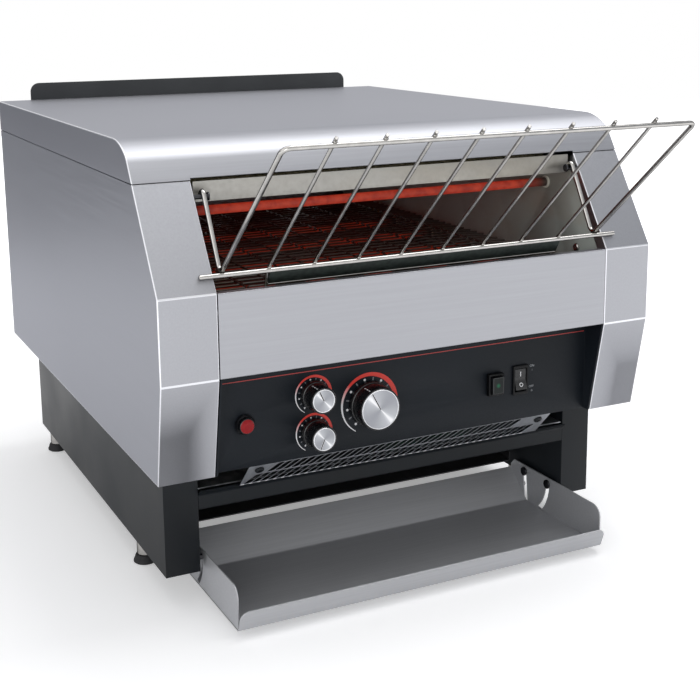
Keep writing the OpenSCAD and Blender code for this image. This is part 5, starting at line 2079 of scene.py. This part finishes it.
@dataclass
class Fasteners:
    """Pan-head screws with a cross recess."""

    head_r: float = 4.0
    head_h: float = 2.2
    recess: float = 1.1
    arm: float = 2.1
    arm_half: float = 0.45
    flat_in: float = 0.9
    brow: Point = (0.25, 0.45)
    rim_h: float = 0.5
    wall_x: float = 188.3
    chamber: tuple[Point, ...] = ((45.36, 282.0), (488.0, 292.0))
    rear: tuple[tuple[float, float, float], ...] = (
        (-150.0, 567.5, 389.0), (0.0, 567.5, 389.0), (150.0, 567.5, 389.0),
        (-222.5, 564.5, 147.0), (-222.5, 564.5, 341.0), (222.5, 564.5, 147.0),
        (222.5, 564.5, 341.0),
    )

    def screw(self, bm: BMesh, place: Vector, way: Vector) -> None:
        """Builds one head.

        Args:
            bm: Mesh to build in.
            place: Middle of the head's seat.
            way: Direction that the head faces.
        """
        turn = UP.rotation_difference(way).to_matrix().to_4x4()
        start = len(bm.verts)
        top, arm, half = self.head_h * MM, self.arm * MM, self.arm_half * MM
        flat_r, brow_r = self.head_r - self.flat_in, self.head_r - self.brow[0]
        brow_h = self.brow[1]
        rim = [Vector((x * MM, y * MM, top)) for x, y in arc((0, 0), flat_r, 0, 345, 23)]
        quarter = [(arm, half), (half, half), (half, arm)]
        cross = [
            Vector((x * cos - y * sin, x * sin + y * cos, top))
            for cos, sin in ((1, 0), (0, 1), (-1, 0), (0, -1))
            for x, y in quarter
        ]
        pierced(bm, rim, [cross])
        bm.verts.ensure_lookup_table()
        edges = {e for v in bm.verts[start:] for e in v.link_edges if e.is_boundary}
        ring = [e for e in edges if all(v.co.xy.length > arm * 1.1 for v in e.verts)]
        recess = list(edges - set(ring))
        for grow, drop in (
            (brow_r / flat_r, brow_h), (self.head_r / brow_r, self.rim_h),
            (1.0, self.head_h - brow_h - self.rim_h),
        ):
            new = verts_of(bmesh.ops.extrude_edge_only(bm, edges=ring)["geom"])
            bmesh.ops.scale(bm, verts=new, vec=(grow, grow, 1))
            bmesh.ops.translate(bm, verts=new, vec=(0, 0, -drop * MM))
            ring = [e for e in bm.edges if set(e.verts) <= set(new)]
        new = verts_of(bmesh.ops.extrude_edge_only(bm, edges=recess)["geom"])
        bmesh.ops.translate(bm, verts=new, vec=(0, 0, -self.recess * MM))
        bmesh.ops.contextual_create(bm, geom=[e for e in bm.edges if set(e.verts) <= set(new)])
        bm.verts.ensure_lookup_table()
        fresh = bm.verts[start:]
        bmesh.ops.recalc_face_normals(bm, faces=list({f for v in fresh for f in v.link_faces}))
        bmesh.ops.transform(bm, matrix=Matrix.Translation(place) @ turn, verts=fresh)

    def build(self) -> None:
        """Builds every screw of the outside and of the chamber."""
        bm = bmesh.new()
        grille = InletGrille()
        for place in self.rear:
            self.screw(bm, at(*place), BACK)
        for hand, spot in zip((-1, 1), grille.screw_places()):
            for y, z in self.chamber:
                self.screw(bm, at(hand * self.wall_x, y, z), -hand * RIGHT)
            seat = grille.place(*spot)
            plain = len(bm.faces)
            self.screw(bm, seat, grille.place(*spot, 1.0) - seat)
            join_faces(bm, 1, plain)
        Piece(
            "screws_pan_head", Slot.WIRE, (Finishes.wire, Finishes.base), ("screws",)
        ).cast(bm)


@dataclass
class DriveAndElectrics:
    """Motor, chain, shafts, fan and the electric parts behind the control panel."""

    chain_x: float = 200.3
    driven: tuple[float, float, float] = (60.0, 254.0, 29.0)
    pinion: tuple[float, float, float] = (182.0, 165.0, 14.5)
    link: float = 6.35
    link_rise: float = 1.6
    plate_t: float = 0.6
    plate_rise: float = 1.3

    def chain_line(self) -> list[tuple[float, float, float]]:
        """Places the links round both sprockets.

        Returns:
            The y, z and running angle of each link.
        """
        (y0, z0, r0), (y1, z1, r1) = self.driven, self.pinion
        r0, r1 = r0 + self.link_rise, r1 + self.link_rise
        span = math.hypot(y1 - y0, z1 - z0)
        lie = math.atan2(z1 - z0, y1 - y0)
        wrap = math.acos((r0 - r1) / span)
        flat = span * math.sin(wrap)
        # Centre, radius, first angle, length and whether the chain goes round or straight.
        runs = (
            (y0, z0, r0, lie + wrap, r0 * (math.tau - 2 * wrap), True),
            (y0, z0, r0, lie - wrap, flat, False),
            (y1, z1, r1, lie - wrap, r1 * 2 * wrap, True),
            (y1, z1, r1, lie + wrap, flat, False),
        )
        total = sum(run[4] for run in runs)
        count = 2 * round(total / self.link / 2)
        out = []
        for i in range(count):
            s = i * total / count
            for y, z, r, a, length, bent in runs:
                if s < length:
                    a += s / r if bent else 0.0
                    on, way = 0.0 if bent else s, a + math.pi / 2
                    out.append((
                        y + r * math.cos(a) + on * math.cos(way),
                        z + r * math.sin(a) + on * math.sin(way), way,
                    ))
                    break
                s -= length
        return out

    def build_chain(self) -> None:
        """Builds the roller chain, whose links are alternately wide and narrow."""
        bm = bmesh.new()
        for i, (y, z, way) in enumerate(self.chain_line()):
            wide = 2.3 if i % 2 else 1.5
            step = Vector((0, math.cos(way), math.sin(way))) * self.link * MM
            rise = Vector((0, -math.sin(way), math.cos(way))) * MM
            half = [(-0.72, 0.9), (-0.47, self.plate_rise), (0.47, self.plate_rise), (0.72, 0.9)]
            plate = [(a, -b) for a, b in half] + half[::-1]
            for side in (-1, 1):
                mid = at(self.chain_x + side * wide, y, z)
                slab(
                    bm, [mid + step * a + rise * b for a, b in plate],
                    -side * self.plate_t * MM * RIGHT,
                )
            roll = Matrix.Translation(at(self.chain_x, y, z) + step * 0.5)
            bmesh.ops.create_cone(
                bm, cap_ends=True, segments=8, radius1=1.2 * MM, radius2=1.2 * MM, depth=4.8 * MM,
                matrix=roll @ Matrix.Rotation(math.pi / 2, 4, "Y"),
            )
        Piece("drive_chain_links", Slot.HEAT_TINTED, (Finishes.chamber,), ("drive_chain",)).cast(bm)

    def build(self) -> None:
        """Builds the chain and dresses everything else of the drive and electrics."""
        self.build_chain()
        for node, body, slot, finish in (
            ("drive_shaft", Body.DRIVE, Slot.ZINC, Finishes.zinc),
            ("idler_shaft", Body.IDLER, Slot.ZINC, Finishes.zinc),
            ("drive_wheels", Body.DRIVE, Slot.HEAT_TINTED, Finishes.chamber),
            ("idler_wheels", Body.IDLER, Slot.HEAT_TINTED, Finishes.chamber),
            ("driven_sprocket", Body.DRIVE, Slot.ZINC, Finishes.zinc),
            ("motor_sprocket", Body.MOTOR, Slot.ZINC, Finishes.zinc),
            ("gearmotor", Body.TOASTER, Slot.ZINC, Finishes.zinc),
            ("component_floor", Body.TOASTER, Slot.ZINC, Finishes.zinc),
            ("fan_frame", Body.TOASTER, Slot.PLASTIC, Finishes.plastic),
            ("fan_impeller", Body.FAN, Slot.PLASTIC, Finishes.plastic),
            ("control_board", Body.TOASTER, Slot.BOARD, Finishes.board),
            ("contactors", Body.TOASTER, Slot.PLASTIC, Finishes.plastic),
            ("terminal_block", Body.TOASTER, Slot.CERAMIC, Finishes.ceramic),
            ("control_bodies", Body.TOASTER, Slot.PLASTIC, Finishes.plastic),
        ):
            eased_copy(node, slot, finish, 0.2, body)


# ---------------------------------------------------------------- studio


@dataclass
class Studio:
    """Camera, lamps, pale floor and surround."""

    camera_place: tuple[float, float, float] = (-0.5181, -1.1316, 0.5095)
    camera_turn: tuple[float, float, float] = (78.212, 0.527, -26.309)
    lens: float = 64.98
    shift_y: float = -0.12
    aim: tuple[float, float, float] = (0.0, 0.0, 0.2)

    def set_camera(self) -> None:
        """Sets up the camera."""
        data = bpy.data.cameras.new("camera")
        data.lens, data.sensor_width, data.shift_y = self.lens, 36.0, self.shift_y
        data.clip_start, data.clip_end = 0.01, 50.0
        camera = bpy.data.objects.new("camera", data)
        camera.location = self.camera_place
        camera.rotation_euler = [math.radians(a) for a in self.camera_turn]
        bpy.context.scene.collection.objects.link(camera)
        bpy.context.scene.camera = camera

    def lamp(self, name: str, place: Sequence[float], size: float, power: float) -> None:
        """Hangs a soft square lamp that points at the toaster.

        Args:
            name: Name of the lamp.
            place: Its place, in metres.
            size: Its side, in metres.
            power: Its power, in watts.
        """
        data = bpy.data.lights.new(name, "AREA")
        data.energy, data.size, data.shape = power, size, "SQUARE"
        made = bpy.data.objects.new(name, data)
        made.location = place
        way = Vector(self.aim) - Vector(place)
        made.rotation_euler = way.to_track_quat("-Z", "Y").to_euler()
        bpy.context.scene.collection.objects.link(made)

    def seen(self, tree: Tree) -> Socket:
        """Gives 1 for what is seen straight, mirrored or through glass, and 0 for light.

        Args:
            tree: Node tree of the floor or the surround.

        Returns:
            The socket that carries the value.
        """
        rays = add_node(tree, "LightPath").outputs
        seen = rays["Is Camera Ray"]
        for other in ("Is Glossy Ray", "Is Transmission Ray"):
            seen = add_node(
                tree, "Math", {"operation": "MAXIMUM"}, {0: seen, 1: rays[other]}
            ).outputs[0]
        return seen

    def set_surround(self) -> None:
        """Gives an even surround that looks white wherever it is seen or mirrored."""
        world = bpy.data.worlds.new("surround")
        world.use_nodes = True
        tree = world.node_tree
        tree.nodes.clear()
        soft, white = (
            add_node(
                tree, "Background", {"Color": linear(colour), "Strength": strength}
            ).outputs[0]
            for colour, strength in (("#f4f5f7", 0.5), ("#ffffff", 1.0))
        )
        both = add_node(
            tree, "MixShader", links={0: self.seen(tree), 1: soft, 2: white}
        ).outputs[0]
        add_node(tree, "OutputWorld", links={"Surface": both})
        bpy.context.scene.world = world

    def square(self, name: str, size: float, place: Matrix) -> bpy.types.Object:
        """Makes a flat square that belongs to the studio.

        Args:
            name: Its name.
            size: Its side, in metres.
            place: Its place and turn.

        Returns:
            The new object.
        """
        bm = bmesh.new()
        bmesh.ops.create_grid(bm, x_segments=1, y_segments=1, size=size / 2, matrix=place)
        mesh = bpy.data.meshes.new(name)
        bm.to_mesh(mesh)
        bm.free()
        made = bpy.data.objects.new(name, mesh)
        paint = bpy.data.materials.new(f"{name}_paint")
        paint.use_nodes = True
        mesh.materials.append(paint)
        bpy.context.scene.collection.objects.link(made)
        return made

    def card(self, name: str, place: Sequence[float], size: float, colour: str) -> None:
        """Stands up a square card that only reflections show, as a studio flag does.

        Args:
            name: Name of the card.
            place: Its middle, in metres.
            size: Its side, in metres.
            colour: Its sRGB hex colour.
        """
        way = (Vector(self.aim) - Vector(place)).to_track_quat("Z", "Y").to_matrix().to_4x4()
        made = self.square(name, size, Matrix.Translation(place) @ way)
        tree = made.data.materials[0].node_tree
        tree.nodes.clear()
        glow = add_node(tree, "Emission", {"Color": linear(colour), "Strength": 1.0})
        add_node(tree, "OutputMaterial", links={"Surface": glow.outputs[0]})
        made.visible_camera = made.visible_diffuse = made.visible_shadow = False

    def lay_floor(self) -> None:
        """Lays the pale floor, which keeps the toaster's shadow."""
        tree = self.square("floor", 8.0, Matrix()).data.materials[0].node_tree
        shader = tree.nodes["Principled BSDF"]
        for name, value in (
            ("Base Color", linear("#f2f2f3")), ("Roughness", 0.9), ("Specular IOR Level", 0.1),
            ("Emission Color", linear("#ffffff")),
        ):
            shader.inputs[name].default_value = value
        reach = add_node(
            tree, "VectorMath", {"operation": "LENGTH"},
            {0: add_node(tree, "TexCoord").outputs["Object"]},
        ).outputs["Value"]
        level = add_node(
            tree, "MapRange",
            {"From Min": 0.6, "From Max": 1.5, "To Min": 0.33, "To Max": 1.0}, {"Value": reach},
        ).outputs["Result"]
        lift = add_node(
            tree, "Math", {"operation": "MULTIPLY"}, {0: self.seen(tree), 1: level}
        ).outputs[0]
        tree.links.new(lift, shader.inputs["Emission Strength"])

    def build(self) -> None:
        """Sets up the whole studio."""
        self.set_camera()
        self.set_surround()
        self.lay_floor()
        self.card("card_back_left", (-1.0, 1.2, 0.35), 1.3, "#8b8d93")
        self.card("card_right", (2.0, -1.4, 1.7), 2.0, "#b8bbc0")
        self.lamp("key_lamp", (1.2, 0.1, 3.0), 2.0, 36.0)
        self.lamp("top_lamp", (-0.2, 0.4, 2.7), 2.8, 20.0)
        self.lamp("fill_lamp", (-2.4, -0.6, 1.4), 1.4, 5.5)
        self.lamp("front_lamp", (-1.5, -2.3, 0.7), 1.2, 11.0)
        bpy.context.scene.view_settings.view_transform = "Standard"


# ---------------------------------------------------------------- all together


def main() -> None:
    """Builds and dresses the toaster."""
    logging.basicConfig(level=logging.INFO, format="%(message)s")
    steps: tuple[Callable[[], None], ...] = (
        Studio().build,
        StainlessBody().build,
        BlackBase().build,
        InletGrille().build,
        ControlPanel().build,
        FeedRack().build,
        HeatingChamber().build,
        ToastPath().build,
        Fasteners().build,
        DriveAndElectrics().build,
    )
    for step in steps:
        step()


if __name__ == "__main__":
    main()
